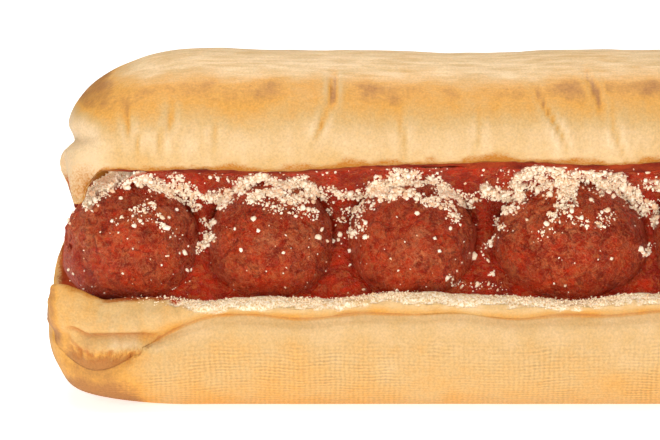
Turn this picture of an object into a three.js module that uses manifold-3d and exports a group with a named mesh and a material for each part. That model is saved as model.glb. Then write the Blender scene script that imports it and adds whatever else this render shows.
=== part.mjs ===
// A long meatball sandwich: a hinged soft roll, slit along its front, that holds a row of meatballs in
// tomato sauce under grated hard cheese.
//
// Millimetres, +Z up. X runs along the roll, and the slit opens towards -Y. The origin is on the floor,
// in the middle of the sandwich's footprint.

import * as THREE from "three";
import { mergeVertices } from "three/addons/utils/BufferGeometryUtils.js";
import Module from "manifold-3d";

const solids = await Module();
solids.setup();

// Roll, outside
const ROLL_LENGTH = 300;
const CROWN_LENGTH = 289.4;
const HALF_WIDTH = 33;
const BASE_HALF_WIDTH = 21;
const ROLL_HEIGHT = 87.3;
const CROWN_FRONT = -28.6;
const CROWN_SPRING = 69.5;
const BACK_SPRING = 55;
const CREASE_HEIGHT = 25.6;
const CREASE_FRONT = -31.7;
const CREASE_REACH = 2.6;
const CREASE_DROPS = {
  left: { depth: 16.6, start: 104, run: 37 },
  right: { depth: 14, start: 108, run: 35 },
};
const CORNER_SQUARENESS = 2.15;
const SHOULDER_BULGE = 1.7;

// Slit: its two lips and the faces that the knife left
const HEEL_LIP = [-31, 30.2];
const CROWN_LIP = [-25.5, 62.3];
const HEEL_DISH = 24.3;
const HEEL_CLIMB = { start: -8, back: 9, backRise: 1.5, power: 2.6 };
const CROWN_FACE = 57.9;
const CROWN_CLIMB = { start: -10, back: 5, backFall: 2.4, power: 1.8 };
const HINGE_INSIDE = 21.5;
const HINGE_TURN = 39.5;

// Round ends: where they begin, how square they are, and how far the tips stand back
const END_START = 112;
const PLAN_HALF_WIDTH = 38.5;
const PLAN_SQUARENESS = { heel: 5, crown: 2.7 };
const HEEL_SQUARENESS = 2.4;
const CROWN_SQUARENESS = 2.2;
const TIP_DEPTH = 0.8;
const LOBE_DEPTH = 11;
const LOBE_BULGE = 4.2;
const LOBE_HEIGHT = 55;
const LOBE_SPREAD = 6.5;
const LOBE_START = 126;
const LOBE_RUN = 14;
const LIP_CURL = { depth: 9, start: 134, run: 6.5 };
const HEEL_SAG = { depth: 1.3, start: 100, run: 12 };
const HEEL_RISE = { height: 4, start: 133, run: 12 };
const HINGE_PINCH = { depth: 2, height: 39, spread: 4 };
const END_FOLD = { depth: 2.7, height: 64.7, spread: 2.4, start: 134 };
const POUCH_FOLD = { depth: 0.9, height: 19.8, spread: 1.8, start: 119 };
const LOBE_EDGE = { depth: 0.8, at: 138, spread: 1.8, low: 53, high: 73 };

// Waves of hand-made edges along the roll, each as height, length over a full turn and phase
const CREASE_WAVES = [
  [0.6, 9.5, 1.2],
  [0.4, 4.1, 0],
];
const HEEL_LIP_WAVES = [
  [0.7, 11, 0.4],
  [0.35, 4.7, 2],
];
const CROWN_LIP_WAVES = [
  [1.1, 42, 1.5],
  [0.3, 6.3, 0],
];
const ROOF_WAVES = [
  [0.35, 16, 0.9],
  [0.25, 31, 0],
];

// Filling
const BALL_WIDTHS = [34.8, 32.6, 33, 39.8, 34, 34.4, 33.6, 34.6];
const BALL_GAPS = [1.5, 3, 3.9, 0.6, 1.8, 1.8, 1.4];
const BALL_DEPTH = 34;
const BALL_HEIGHTS = [31.2, 30.6, 30.8, 31.4, 30.8, 31.4, 30.6, 31.2];
const BALL_CENTRE = [-11.8, 40.6];
const BALL_SLUMP = 0.09;
const BALL_BELLY = 2.5;
const SAUCE_HALF_LENGTH = 134;
const SAUCE_BROW = -21;
const SAUCE_HOLLOW = [-6, 46];
const SAUCE_TOE = -26.6;
const SAUCE_TAPER = 16;
const CLEARANCE = 0.4;
const BALL_CLEARANCE = 1.3;

// Cheese crumbs that are large enough to see from a step away
const CRUMBS_PER_BALL = 13;
const CRUMB_SIZES = [0.9, 1.7];
const CRUMB_HEIGHTS = [0.42, 0.86];
const CRUMB_TURN = 1.05;

const CRUST_COLOUR = 0xe3aa5f;
const MEATBALL_COLOUR = 0xa83a22;
const SAUCE_COLOUR = 0x8e1d10;

// Small helpers

const mix = (a, b, share) => a + (b - a) * share;

const ramp = (value) => {
  const share = Math.min(1, Math.max(0, value));
  return share * share * (3 - 2 * share);
};

const bell = (distance, width) => Math.exp(-((distance / width) ** 2));

// A number from 0 to 1 that looks random and is the same on each run.
const draw = (seed, step) => {
  const wild = Math.sin(seed * 12.9898 + step * 78.233) * 43758.5453;
  return wild - Math.floor(wild);
};

// A rounded corner from a to b that leans into the corner point, as a superellipse does.
function bend(a, corner, b, share, squareness) {
  const leave = 1 - Math.sin((share * Math.PI) / 2) ** (2 / squareness);
  const reach = 1 - Math.cos((share * Math.PI) / 2) ** (2 / squareness);
  return corner.map((c, k) => c + (a[k] - c) * leave + (b[k] - c) * reach);
}

// Heights that change along the roll

const wavesAt = (waves, x) =>
  waves.reduce((sum, [height, length, phase]) => sum + height * Math.sin(x / length + phase), 0);

const stepAt = ({ start, run }, x) => ramp((x - start) / run);

const creaseHeight = (x) =>
  CREASE_HEIGHT +
  wavesAt(CREASE_WAVES, x) -
  CREASE_DROPS.left.depth * stepAt(CREASE_DROPS.left, -x) -
  CREASE_DROPS.right.depth * stepAt(CREASE_DROPS.right, x);

const heelLipHeight = (x) =>
  HEEL_LIP[1] +
  wavesAt(HEEL_LIP_WAVES, x) -
  HEEL_SAG.depth * stepAt(HEEL_SAG, Math.abs(x)) +
  HEEL_RISE.height * stepAt(HEEL_RISE, Math.abs(x));

const crownLipHeight = (x) =>
  CROWN_LIP[1] + wavesAt(CROWN_LIP_WAVES, x) - LIP_CURL.depth * stepAt(LIP_CURL, Math.abs(x));

const roofHeight = (x) => ROLL_HEIGHT - 0.6 + wavesAt(ROOF_WAVES, x);

// The outline of the crust at x, as spans of [steps, share => [y, z]] from the heel's lip, round the
// base and the back, to the crown's lip.
function crustSpans(x) {
  const lip = [HEEL_LIP[0], heelLipHeight(x)];
  const crease = [CREASE_FRONT, creaseHeight(x)];
  const backCrease = [HALF_WIDTH - 0.9, CREASE_HEIGHT + 0.7 * Math.sin(x / 13)];
  const side = [-HALF_WIDTH, crease[1] - CREASE_REACH];
  const backSide = [HALF_WIDTH, backCrease[1] - CREASE_REACH];
  const roof = roofHeight(x);
  const backBulge = 0.8;
  const bulge = SHOULDER_BULGE + 0.12 * (lip[1] - crease[1]);
  const backTop = [HALF_WIDTH - 1, BACK_SPRING];
  const crownLip = [CROWN_LIP[0], crownLipHeight(x)];
  return [
    [
      4,
      (s) => [
        mix(lip[0], crease[0], s) - bulge * Math.sin(Math.PI * s ** 0.8),
        mix(lip[1], crease[1], s),
      ],
    ],
    [1, (s) => [mix(crease[0], side[0], s), mix(crease[1], side[1], s)]],
    [4, (s) => bend(side, [-HALF_WIDTH, 0], [-BASE_HALF_WIDTH, 0], s, CORNER_SQUARENESS)],
    [2, (s) => [mix(-BASE_HALF_WIDTH, BASE_HALF_WIDTH, s), 0]],
    [3, (s) => bend([BASE_HALF_WIDTH, 0], [HALF_WIDTH, 0], backSide, s, CORNER_SQUARENESS)],
    [1, (s) => [mix(backSide[0], backCrease[0], s), mix(backSide[1], backCrease[1], s)]],
    [
      5,
      (s) => [
        backCrease[0] - 0.1 * s + backBulge * Math.sin(Math.PI * s),
        mix(backCrease[1], BACK_SPRING, s),
      ],
    ],
    [4, (s) => bend(backTop, [backTop[0], roof], [1, roof], s, CORNER_SQUARENESS)],
    [5, (s) => bend([1, roof], [CROWN_FRONT, roof], [CROWN_FRONT, CROWN_SPRING], s, 2.2)],
    [2, (s) => bend([CROWN_FRONT, CROWN_SPRING], [CROWN_FRONT, crownLip[1] + 0.4], crownLip, s, 2)],
  ];
}

// The faces inside the slit at x, as spans with the same numbers of steps: 15 for the heel's face,
// 6 for the inside of the hinge and 10 for the crown's face.
const HEEL_FACE_BACK = [HEEL_CLIMB.back, HEEL_DISH + HEEL_CLIMB.backRise];
const CROWN_FACE_BACK = [CROWN_CLIMB.back, CROWN_FACE - CROWN_CLIMB.backFall];

function heelFace(y, lipHeight) {
  const { start, back, backRise, power } = HEEL_CLIMB;
  if (y > start) return HEEL_DISH + backRise * ((y - start) / (back - start)) ** 2;
  return HEEL_DISH + (lipHeight - HEEL_DISH) * ((start - y) / (start - HEEL_LIP[0])) ** power;
}

function crownFace(y, lipHeight) {
  const { start, back, backFall, power } = CROWN_CLIMB;
  if (y > start) return CROWN_FACE - backFall * ((y - start) / (back - start)) ** 2;
  return CROWN_FACE + (lipHeight - CROWN_FACE) * ((start - y) / (start - CROWN_LIP[0])) ** power;
}

function faceSpans(x) {
  const inside = HINGE_INSIDE - LOBE_DEPTH * ramp((Math.abs(x) - LOBE_START) / LOBE_RUN);
  const middle = [inside, HINGE_TURN];
  return [
    [
      15,
      (s) => {
        const y = mix(HEEL_LIP[0], HEEL_FACE_BACK[0], s ** 1.15);
        return [y, heelFace(y, heelLipHeight(x))];
      },
    ],
    [3, (s) => bend(HEEL_FACE_BACK, [inside, HEEL_FACE_BACK[1] + 1], middle, s, 2.2)],
    [3, (s) => bend(middle, [inside, CROWN_FACE_BACK[1] - 1], CROWN_FACE_BACK, s, 2)],
    [
      10,
      (s) => {
        const y = mix(CROWN_FACE_BACK[0], CROWN_LIP[0], s);
        return [y, crownFace(y, crownLipHeight(x))];
      },
    ],
  ];
}

const stepsOf = (spans) => spans.reduce((sum, [steps]) => sum + steps, 0);
const RING_STEPS = stepsOf(crustSpans(0));

// The point after so many steps along a list of spans.
function walk(spans, index) {
  let left = index;
  for (const [steps, place] of spans) {
    if (left <= steps) return place(left / steps);
    left -= steps;
  }
  throw new Error("the walk leaves its spans");
}

// How far from 0, at the heel, to 1, at the crown, a place on the ring is.
const crownShare = (index) => ramp((index - 15) / 6);

// The place on the ring where the round end closes, and how far out along X it does.
function tipOf(index, x) {
  const crust = walk(crustSpans(x), index);
  const face = walk(faceSpans(x), index);
  const line = crust.map((c, k) => mix(c, face[k], TIP_DEPTH));
  const crown = crownShare(index);
  const square = mix(PLAN_SQUARENESS.heel, PLAN_SQUARENESS.crown, crown);
  const round = (1 - Math.abs(line[0] / PLAN_HALF_WIDTH) ** square) ** (1 / square);
  const reach = mix(ROLL_LENGTH, CROWN_LENGTH, crown) / 2;
  const lobe = LOBE_BULGE * bell(line[1] - LOBE_HEIGHT, LOBE_SPREAD);
  const pinch = HINGE_PINCH.depth * bell(line[1] - HINGE_PINCH.height, HINGE_PINCH.spread);
  return { crust, face, line, reach: mix(END_START, reach, round) + lobe - pinch };
}

// Relief of the crust, in millimetres along its normal: slow swells all over, the fold that parts the
// crown from the lobe at each end, and the pouch under the lobe at the left end.
function relief(x, y, z) {
  const swell =
    0.45 * Math.sin(x / 14 + y / 19) * Math.sin(z / 17 + 1) +
    0.3 * Math.sin(x / 7.5 + z / 11 + 2) * Math.cos(y / 13);
  const fold = bell(z - END_FOLD.height + 0.21 * y, END_FOLD.spread);
  const endFold = END_FOLD.depth * fold * ramp((Math.abs(x) - END_FOLD.start) / 9);
  const front = ramp((-12 - y) / 8);
  const pouchFold = POUCH_FOLD.depth * bell(z - POUCH_FOLD.height, POUCH_FOLD.spread);
  const pouch = pouchFold * ramp((-POUCH_FOLD.start - x) / 6) * front;
  const onLobe = ramp((z - LOBE_EDGE.low) / 3) * ramp((LOBE_EDGE.high - z) / 5) * front;
  const lobeEdge = LOBE_EDGE.depth * bell(Math.abs(x) - LOBE_EDGE.at, LOBE_EDGE.spread) * onLobe;
  return swell * ramp((z - 0.5) / 8) - endFold - pouch - lobeEdge;
}

// Turns rings of points into a closed indexed geometry. ring(row, index) gives [x, y, z]; the first and
// the last row are closed by zip, which names the index that shares an index's place there.
function loft(rows, ringSize, ring, zip) {
  const places = [];
  const faces = [];
  for (let row = 0; row < rows; row++)
    for (let index = 0; index < ringSize; index++) {
      const closed = row === 0 || row === rows - 1;
      places.push(...ring(row, closed ? zip(index) : index));
    }
  for (let row = 0; row < rows - 1; row++)
    for (let index = 0; index < ringSize; index++) {
      const next = (index + 1) % ringSize;
      const [a, b] = [row * ringSize + index, row * ringSize + next];
      const [c, d] = [a + ringSize, b + ringSize];
      faces.push(a, b, c, b, d, c);
    }
  const geometry = new THREE.BufferGeometry();
  geometry.setAttribute("position", new THREE.Float32BufferAttribute(places, 3));
  geometry.setIndex(faces);
  return mergeVertices(geometry, 1e-4);
}

// Moves each vertex of a geometry along its normal by push(x, y, z).
function emboss(geometry, push) {
  geometry.computeVertexNormals();
  const { position, normal } = geometry.attributes;
  const place = new THREE.Vector3();
  const out = new THREE.Vector3();
  for (let i = 0; i < position.count; i++) {
    place.fromBufferAttribute(position, i);
    out.fromBufferAttribute(normal, i);
    place.addScaledVector(out, push(place.x, place.y, place.z));
    position.setXYZ(i, ...place);
  }
  return geometry;
}

// Between a geometry and a solid that can be joined and cut

function solidOf(geometry) {
  const plain = new THREE.BufferGeometry().setAttribute("position", geometry.getAttribute("position"));
  plain.setIndex(geometry.index);
  const merged = mergeVertices(plain, 1e-4);
  return new solids.Manifold(
    new solids.Mesh({
      numProp: 3,
      vertProperties: merged.attributes.position.array,
      triVerts: new Uint32Array(merged.index.array),
    }),
  );
}

function geometryOf(solid) {
  const { vertProperties, triVerts } = solid.getMesh();
  const geometry = new THREE.BufferGeometry();
  geometry.setAttribute("position", new THREE.BufferAttribute(vertProperties, 3));
  geometry.setIndex(new THREE.BufferAttribute(triVerts, 1));
  geometry.computeVertexNormals();
  return geometry;
}

// The roll: crust outside, crumb faces inside, one piece through the hinge

const END_ANGLES = [90, 74, 59, 45, 31, 17].map((degrees) => (degrees * Math.PI) / 180);
const BODY_ROWS = 25;

// For each row, its side of the roll and, at an end, the angle that rounds it off.
const ROLL_ROWS = [
  ...END_ANGLES.map((angle) => ({ side: -1, angle })),
  ...Array.from({ length: BODY_ROWS }, (_, k) => ({ at: mix(-END_START, END_START, k / (BODY_ROWS - 1)) })),
  ...END_ANGLES.toReversed().map((angle) => ({ side: 1, angle })),
];

function rollPlace(row, ringIndex) {
  const inside = ringIndex > RING_STEPS;
  const index = inside ? 2 * RING_STEPS - ringIndex : ringIndex;
  const { at, side, angle } = ROLL_ROWS[row];
  const squareness = mix(HEEL_SQUARENESS, CROWN_SQUARENESS, crownShare(index));
  const out = angle === undefined ? 0 : Math.sin(angle) ** (2 / squareness);
  const full = angle === undefined ? 1 : Math.max(0, Math.cos(angle)) ** (2 / squareness);
  const rough = tipOf(index, at ?? side * END_START);
  const x = at ?? side * mix(END_START, rough.reach, out);
  const { crust, face, line } = tipOf(index, x);
  const shell = inside ? face : crust;
  return [x, ...line.map((middle, k) => mix(middle, shell[k], angle === END_ANGLES[0] ? 0 : full))];
}

function rollGeometry() {
  const ringSize = 2 * RING_STEPS;
  const zip = (index) => (index > RING_STEPS ? ringSize - index : index);
  return emboss(loft(ROLL_ROWS.length, ringSize, rollPlace, zip), relief);
}

// Meatballs: slumped, lumpy, with the larger cheese crumbs stuck to their upper fronts

const ballCentres = BALL_WIDTHS.reduce((centres, width, k) => {
  const before = centres[k - 1];
  const start = -BALL_WIDTHS.reduce((a, b) => a + b, BALL_GAPS.reduce((a, b) => a + b)) / 2;
  const x = k === 0 ? start + width / 2 : before + BALL_WIDTHS[k - 1] / 2 + BALL_GAPS[k - 1] + width / 2;
  return [...centres, x];
}, []);

// The surface of meatball k in the direction of a unit vector, grown by so many millimetres. It is
// fuller below its middle than a sphere, since it rests in a soft bed.
function ballPlace(k, direction, grown = 0) {
  const wave = (step) => 2 * Math.PI * draw(k + 1, step);
  const { x, y, z } = direction;
  const lumps =
    0.022 * Math.sin(4.1 * x + 3 * z + wave(1)) * Math.sin(3.7 * y + wave(2)) +
    0.016 * Math.sin(8.3 * z + 2 * y + wave(3)) * Math.sin(7.1 * x + wave(4)) +
    0.01 * Math.sin(13 * y + wave(5)) * Math.sin(12 * x + 5 * z + wave(6));
  const size = 0.985 + lumps;
  const round = Math.sqrt(Math.max(1e-9, 1 - z * z));
  const belly = z < 0 ? (1 - (-z) ** BALL_BELLY) ** (1 / BALL_BELLY) / round : 1;
  const slump = (1 - BALL_SLUMP * z) * belly;
  return new THREE.Vector3(
    ballCentres[k] + x * ((BALL_WIDTHS[k] / 2) * size * slump + grown),
    BALL_CENTRE[0] + y * ((BALL_DEPTH / 2) * size * slump + grown),
    BALL_CENTRE[1] + z * ((BALL_HEIGHTS[k] / 2) * size + grown),
  );
}

function ballGeometry(k, detail, grown) {
  const geometry = new THREE.IcosahedronGeometry(1, detail);
  geometry.deleteAttribute("normal");
  geometry.deleteAttribute("uv");
  const merged = mergeVertices(geometry, 1e-4);
  const { position } = merged.attributes;
  const direction = new THREE.Vector3();
  for (let i = 0; i < position.count; i++) {
    direction.fromBufferAttribute(position, i).normalize();
    position.setXYZ(i, ...ballPlace(k, direction, grown));
  }
  return merged;
}

// Crumb number n on meatball k, on an even spiral over the part that the cheese covers.
function crumbSolid(k, n) {
  const share = (n + 0.5) / CRUMBS_PER_BALL;
  const height = mix(...CRUMB_HEIGHTS, share) + 0.08 * (draw(k, n) - 0.5);
  const turn = mix(-CRUMB_TURN, CRUMB_TURN, (n * 0.618034 + draw(k, 50)) % 1);
  const flat = Math.sqrt(1 - height ** 2);
  const direction = new THREE.Vector3(flat * Math.sin(turn), -flat * Math.cos(turn), height);
  const size = mix(...CRUMB_SIZES, draw(k + 20, n));
  const crumb = new THREE.OctahedronGeometry(size, 0);
  crumb.scale(1 + 0.35 * draw(k, n + 9), 1, 0.8);
  crumb.rotateX(6 * draw(k + 5, n));
  crumb.rotateZ(6 * draw(k + 7, n));
  crumb.translate(...ballPlace(k, direction, 0.15 * size));
  crumb.deleteAttribute("normal");
  crumb.deleteAttribute("uv");
  return solidOf(mergeVertices(crumb, 1e-4));
}

function meatballGeometry(k) {
  let ball = solidOf(ballGeometry(k, 4, 0));
  for (let n = 0; n < CRUMBS_PER_BALL; n++) ball = ball.add(crumbSolid(k, n));
  return geometryOf(ball);
}

// Sauce: it fills the slit behind and between the meatballs and runs out to the heel's lip

const SAUCE_ROWS = 33;
const SAUCE_FACE_STEPS = 8;
const SAUCE_FRONT_STEPS = 6;

function saucePlace(row, index) {
  const share = (2 * row) / (SAUCE_ROWS - 1) - 1;
  const shrink = Math.sqrt(Math.max(0, 1 - Math.abs(share) ** SAUCE_TAPER));
  const x = share * SAUCE_HALF_LENGTH;
  const toe = [SAUCE_TOE + 0.8 * Math.sin(x / 5), heelFace(SAUCE_TOE, heelLipHeight(x)) + 1.1];
  const brow = [SAUCE_BROW + 0.8 * Math.sin(x / 6 + 1), crownFace(SAUCE_BROW, crownLipHeight(x)) - CLEARANCE];
  const middle = [-4, BALL_CENTRE[1]];
  let place;
  if (index <= SAUCE_FACE_STEPS) {
    // Along the slit's own faces, a little inside them
    const along = mix(4, RING_STEPS - 4, index / SAUCE_FACE_STEPS);
    const wall = walk(faceSpans(x), Math.round(along));
    const inward = new THREE.Vector2(middle[0] - wall[0], middle[1] - wall[1]).setLength(CLEARANCE * 1.6);
    place = [wall[0] + inward.x, wall[1] + inward.y];
  } else {
    // Down the open front: a strip under the crown, a hollow between the meatballs, and an apron
    const down = (2 * (index - SAUCE_FACE_STEPS)) / SAUCE_FRONT_STEPS;
    const apron = [-13, 33.5 + 2 * Math.sin(x / 7)];
    place =
      down < 1 ? bend(brow, [-11, 56], SAUCE_HOLLOW, down, 2) : bend(SAUCE_HOLLOW, apron, toe, down - 1, 1.8);
  }
  return [x, ...place.map((value, k) => mix(middle[k], value, shrink))];
}

function sauceGeometry() {
  const ringSize = SAUCE_FACE_STEPS + SAUCE_FRONT_STEPS + 1;
  let sauce = solidOf(loft(SAUCE_ROWS, ringSize, saucePlace, (index) => index));
  BALL_WIDTHS.forEach((_, k) => {
    sauce = sauce.subtract(solidOf(ballGeometry(k, 2, BALL_CLEARANCE)));
  });
  const [largest] = sauce.decompose().sort((a, b) => b.volume() - a.volume());
  return geometryOf(largest);
}

// Assembly

function piece(name, geometry, color, roughness) {
  const material = new THREE.MeshStandardMaterial({ color, roughness, metalness: 0 });
  const mesh = new THREE.Mesh(geometry, material);
  mesh.name = name;
  return mesh;
}

const sandwich = new THREE.Group();
sandwich.add(piece("roll", rollGeometry(), CRUST_COLOUR, 0.55));
sandwich.add(piece("sauce", sauceGeometry(), SAUCE_COLOUR, 0.2));
BALL_WIDTHS.forEach((_, k) => {
  sandwich.add(piece(`meatball_${k + 1}`, meatballGeometry(k), MEATBALL_COLOUR, 0.3));
});

// Relief moves the sides by a few tenths, so the footprint is centred on the origin here.
const box = new THREE.Box3().setFromObject(sandwich);
const centre = box.getCenter(new THREE.Vector3());
sandwich.position.set(-centre.x, -centre.y, -box.min.z);

export default sandwich;
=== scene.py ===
"""Meatball sandwich: dresses the packed solids of the sandwich with bread, meat, sauce and cheese.

The shapes are worked out in millimetres, with X along the roll, the slit open towards -Y and Z up, and
are turned into metres when they become meshes.
"""

import math

import bpy
import numpy as np
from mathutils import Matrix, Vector


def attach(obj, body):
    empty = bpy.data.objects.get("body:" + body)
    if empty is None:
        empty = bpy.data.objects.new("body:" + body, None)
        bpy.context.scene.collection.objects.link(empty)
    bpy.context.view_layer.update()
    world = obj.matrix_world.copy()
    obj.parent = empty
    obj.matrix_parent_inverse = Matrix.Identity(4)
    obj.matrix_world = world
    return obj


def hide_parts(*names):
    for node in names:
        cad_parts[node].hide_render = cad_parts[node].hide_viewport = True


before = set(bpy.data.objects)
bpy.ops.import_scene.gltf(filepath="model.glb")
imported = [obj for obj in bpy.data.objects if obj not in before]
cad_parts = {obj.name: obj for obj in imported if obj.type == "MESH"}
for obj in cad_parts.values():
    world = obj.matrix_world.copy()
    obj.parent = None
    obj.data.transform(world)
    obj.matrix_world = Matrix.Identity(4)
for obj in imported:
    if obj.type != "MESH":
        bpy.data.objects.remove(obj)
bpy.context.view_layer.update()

bl_info = {
    "name": "Meatball Sandwich",
    "version": (1, 0, 0),
    "blender": (4, 5, 0),
    "location": "View3D > Sidebar > Sandwich",
    "description": "Makes a hinged roll filled with meatballs, tomato sauce and grated cheese",
    "category": "Add Mesh",
}

MM = 0.001

# Roll, outside
ROLL_LENGTH = 300
CROWN_LENGTH = 289.4
HALF_WIDTH = 33
BASE_HALF_WIDTH = 21
ROLL_HEIGHT = 87.3
CROWN_FRONT = -28.6
CROWN_SPRING = 69.5
BACK_SPRING = 55
CREASE_HEIGHT = 25.6
CREASE_FRONT = -31.7
CREASE_REACH = 2.6
SHOULDER_BULGE = 1.7
CORNER_SQUARENESS = 2.15

# Slit: its two lips and the faces that the knife left
HEEL_LIP = (-31, 30.2)
CROWN_LIP = (-25.5, 62.3)
HEEL_DISH = 24.3
CROWN_FACE = 57.9
HINGE_INSIDE = 21.5
HINGE_TURN = 39.5
HEEL_FACE_BACK = (9, HEEL_DISH + 1.5)
CROWN_FACE_BACK = (5, CROWN_FACE - 2.4)

# Round ends
END_START = 112
PLAN_HALF_WIDTH = 38.5
PLAN_SQUARENESS = (5, 2.7)
HEEL_SQUARENESS = 2.4
CROWN_SQUARENESS = 2.2
TIP_DEPTH = 0.8
LOBE_DEPTH = 11
LOBE_BULGE = 4.2
LOBE_HEIGHT = 55
HINGE_PINCH = 2
LIP_CURL = 9
HEEL_SAG = 1.3
HEEL_RISE = 4

# Filling
BALL_WIDTHS = (34.8, 32.6, 33, 39.8, 34, 34.4, 33.6, 34.6)
BALL_GAPS = (1.5, 3, 3.9, 0.6, 1.8, 1.8, 1.4)
BALL_DEPTH = 34
BALL_HEIGHTS = (31.2, 30.6, 30.8, 31.4, 30.8, 31.4, 30.6, 31.2)
BALL_CENTRE = (-11.8, 40.6)
BALL_SLUMP = 0.09
BALL_BELLY = 2.5
SAUCE_HALF_LENGTH = 134
SAUCE_TAPER = 34
SAUCE_TOE = -27.2
SAUCE_BROW = -23.2

# Where the photograph was taken from
VIEW_ELEVATION = 12
VIEW_DISTANCE = 900
VIEW_TARGET = (-77.7, -25, 48.4)
VIEW_LENS = 196
VIEW_SENSOR = 36
VIEW_RANGE = (0.05, 20)

# Strength of a painted glow: emission that lightens the cheese, also where it lies on the filling's
# meshes, and at half strength the torn crumbs, where they lie in shade
PAINTED_GLOW = 0.18

# Heights that part the heel from the crown: for baking, for stains in the slit, and for the crown's skin
HEEL_TOP = 45
INSIDE_HEEL_TOP = 50
CROWN_LOW = 60

# Where the pouch at the left end begins, and the size, octaves and seed of its small folds
POUCH_START = -119
POUCH_FOLDS = ((1.3, 3, 3), 2, 38)

# The solids stand with their footprint's middle on the origin, so all that is built here moves with it
FRAME_SHIFT = np.array([0.685, 0.77, 0.0])


# Numbers and noise


def mix(a, b, share):
    """a at share 0, b at share 1."""
    return a + (b - a) * share


def ramp(value):
    """The smooth step 3v^2 - 2v^3, held at 0 below 0 and at 1 above 1."""
    share = np.clip(value, 0, 1)
    return share * share * (3 - 2 * share)


def bell(distance, width):
    """exp(-(distance / width)^2)."""
    return np.exp(-((distance / width) ** 2))


def lattice(x, y, z, seed):
    """A number from -1 to 1 for each corner of a whole-numbered grid, mixed from its three indices."""
    mixed = (x * 374761393 + y * 668265263 + z * 1440662683 + seed * 974634777) & 0xFFFFFFFF
    mixed = ((mixed ^ (mixed >> 13)) * 1274126177) & 0xFFFFFFFF
    mixed = ((mixed ^ (mixed >> 15)) * 461845907) & 0xFFFFFFFF
    return (mixed & 0xFFFFF) / 524287.5 - 1


def noise(places, size, seed):
    """Smooth value noise from -1 to 1: the grid numbers round each place, blended along three axes."""
    scaled = places / np.asarray(size, dtype=float) + 1000.5
    cell = np.floor(scaled).astype(np.int64)
    share = ramp(scaled - cell)
    total = np.zeros(places.shape[:-1])
    for corner in range(8):
        offset = np.array([corner & 1, (corner >> 1) & 1, (corner >> 2) & 1])
        weight = np.prod(np.where(offset == 1, share, 1 - share), axis=-1)
        total += weight * lattice(*np.moveaxis(cell + offset, -1, 0), seed)
    return total


def cloud(places, size, octaves, seed):
    """Noise with finer noise on top: each octave has half the size and half the height."""
    total = np.zeros(places.shape[:-1])
    for octave in range(octaves):
        total += noise(places, np.asarray(size, dtype=float) / 2**octave, seed + 17 * octave) / 2**octave
    return total / (2 - 2 ** (1 - octaves))


def draw(seed, step):
    """The same wild number from 0 to 1 that the solids use for a seed and a step."""
    wild = math.sin(seed * 12.9898 + step * 78.233) * 43758.5453
    return wild - math.floor(wild)


# Meshes from arrays


def unit(vectors):
    """Vectors of length one, or of length zero where they have no direction."""
    return vectors / np.maximum(np.linalg.norm(vectors, axis=-1, keepdims=True), 1e-9)


def grid_normals(places, wrap):
    """Unit normals of a grid of places: the cross product of its two directions of change."""
    along = np.gradient(places, axis=0)
    if wrap:
        across = (np.roll(places, -1, axis=1) - np.roll(places, 1, axis=1)) / 2
    else:
        across = np.gradient(places, axis=1)
    return unit(np.cross(along, across))


def ring_faces(ids):
    """The faces between neighbouring rows of a grid of vertex numbers whose rows close on themselves.

    A face with two like corners, as at a pole, becomes a triangle, and one with fewer is left out."""
    beside = np.roll(ids, -1, axis=1)
    quads = np.stack([ids[:-1], beside[:-1], beside[1:], ids[1:]], axis=-1).reshape(-1, 4)
    repeated = quads == np.roll(quads, -1, axis=1)
    whole = quads[~repeated.any(axis=1)]
    once = repeated.sum(axis=1) == 1
    thirds = quads[once][~repeated[once]].reshape(-1, 3)
    return whole, thirds


def build(name, places, faces, values=(), smooth=True):
    """Makes an object at the origin from places in millimetres, face arrays and named values."""
    used = np.unique(np.concatenate([part.ravel() for part in faces]))
    renumber = np.full(len(places), -1)
    renumber[used] = np.arange(len(used))
    corners = np.concatenate([renumber[part].ravel() for part in faces])
    sizes = np.concatenate([np.full(len(part), part.shape[1]) for part in faces])
    mesh = bpy.data.meshes.new(name)
    mesh.vertices.add(len(used))
    mesh.vertices.foreach_set("co", ((places[used] + FRAME_SHIFT) * MM).astype(np.float32).ravel())
    mesh.loops.add(len(corners))
    mesh.loops.foreach_set("vertex_index", corners.astype(np.int32))
    mesh.polygons.add(len(sizes))
    starts = np.concatenate([[0], np.cumsum(sizes)[:-1]])
    mesh.polygons.foreach_set("loop_start", starts.astype(np.int32))
    mesh.polygons.foreach_set("use_smooth", np.full(len(sizes), smooth))
    for key, value in dict(values).items():
        attribute = mesh.attributes.new(key, "FLOAT", "POINT")
        attribute.data.foreach_set("value", np.ravel(value)[used].astype(np.float32))
    mesh.update(calc_edges=True)
    piece = bpy.data.objects.new(name, mesh)
    bpy.context.scene.collection.objects.link(piece)
    return piece


def add_uv(piece, u, v):
    """Gives a piece a UV map from one u and one v for each vertex."""
    mesh = piece.data
    corners = np.empty(len(mesh.loops), dtype=np.int32)
    mesh.loops.foreach_get("vertex_index", corners)
    layer = mesh.uv_layers.new(name="surface")
    layer.data.foreach_set("uv", np.stack([u[corners], v[corners]], axis=-1).astype(np.float32).ravel())


# The roll


def bend(a, corner, b, share, squareness):
    """A rounded corner from a to b that leans into the corner point, as a superellipse does."""
    leave = 1 - np.sin(share * np.pi / 2) ** (2 / squareness)
    reach = 1 - np.cos(share * np.pi / 2) ** (2 / squareness)
    return [c + (p - c) * leave + (q - c) * reach for p, c, q in zip(a, corner, b)]


def crease_height(x):
    """The fold along the heel's front: level, with small waves, and dropping towards both ends."""
    waves = 0.6 * np.sin(x / 9.5 + 1.2) + 0.4 * np.sin(x / 4.1)
    return CREASE_HEIGHT + waves - 16.6 * ramp((-104 - x) / 37) - 14 * ramp((x - 108) / 35)


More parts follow.
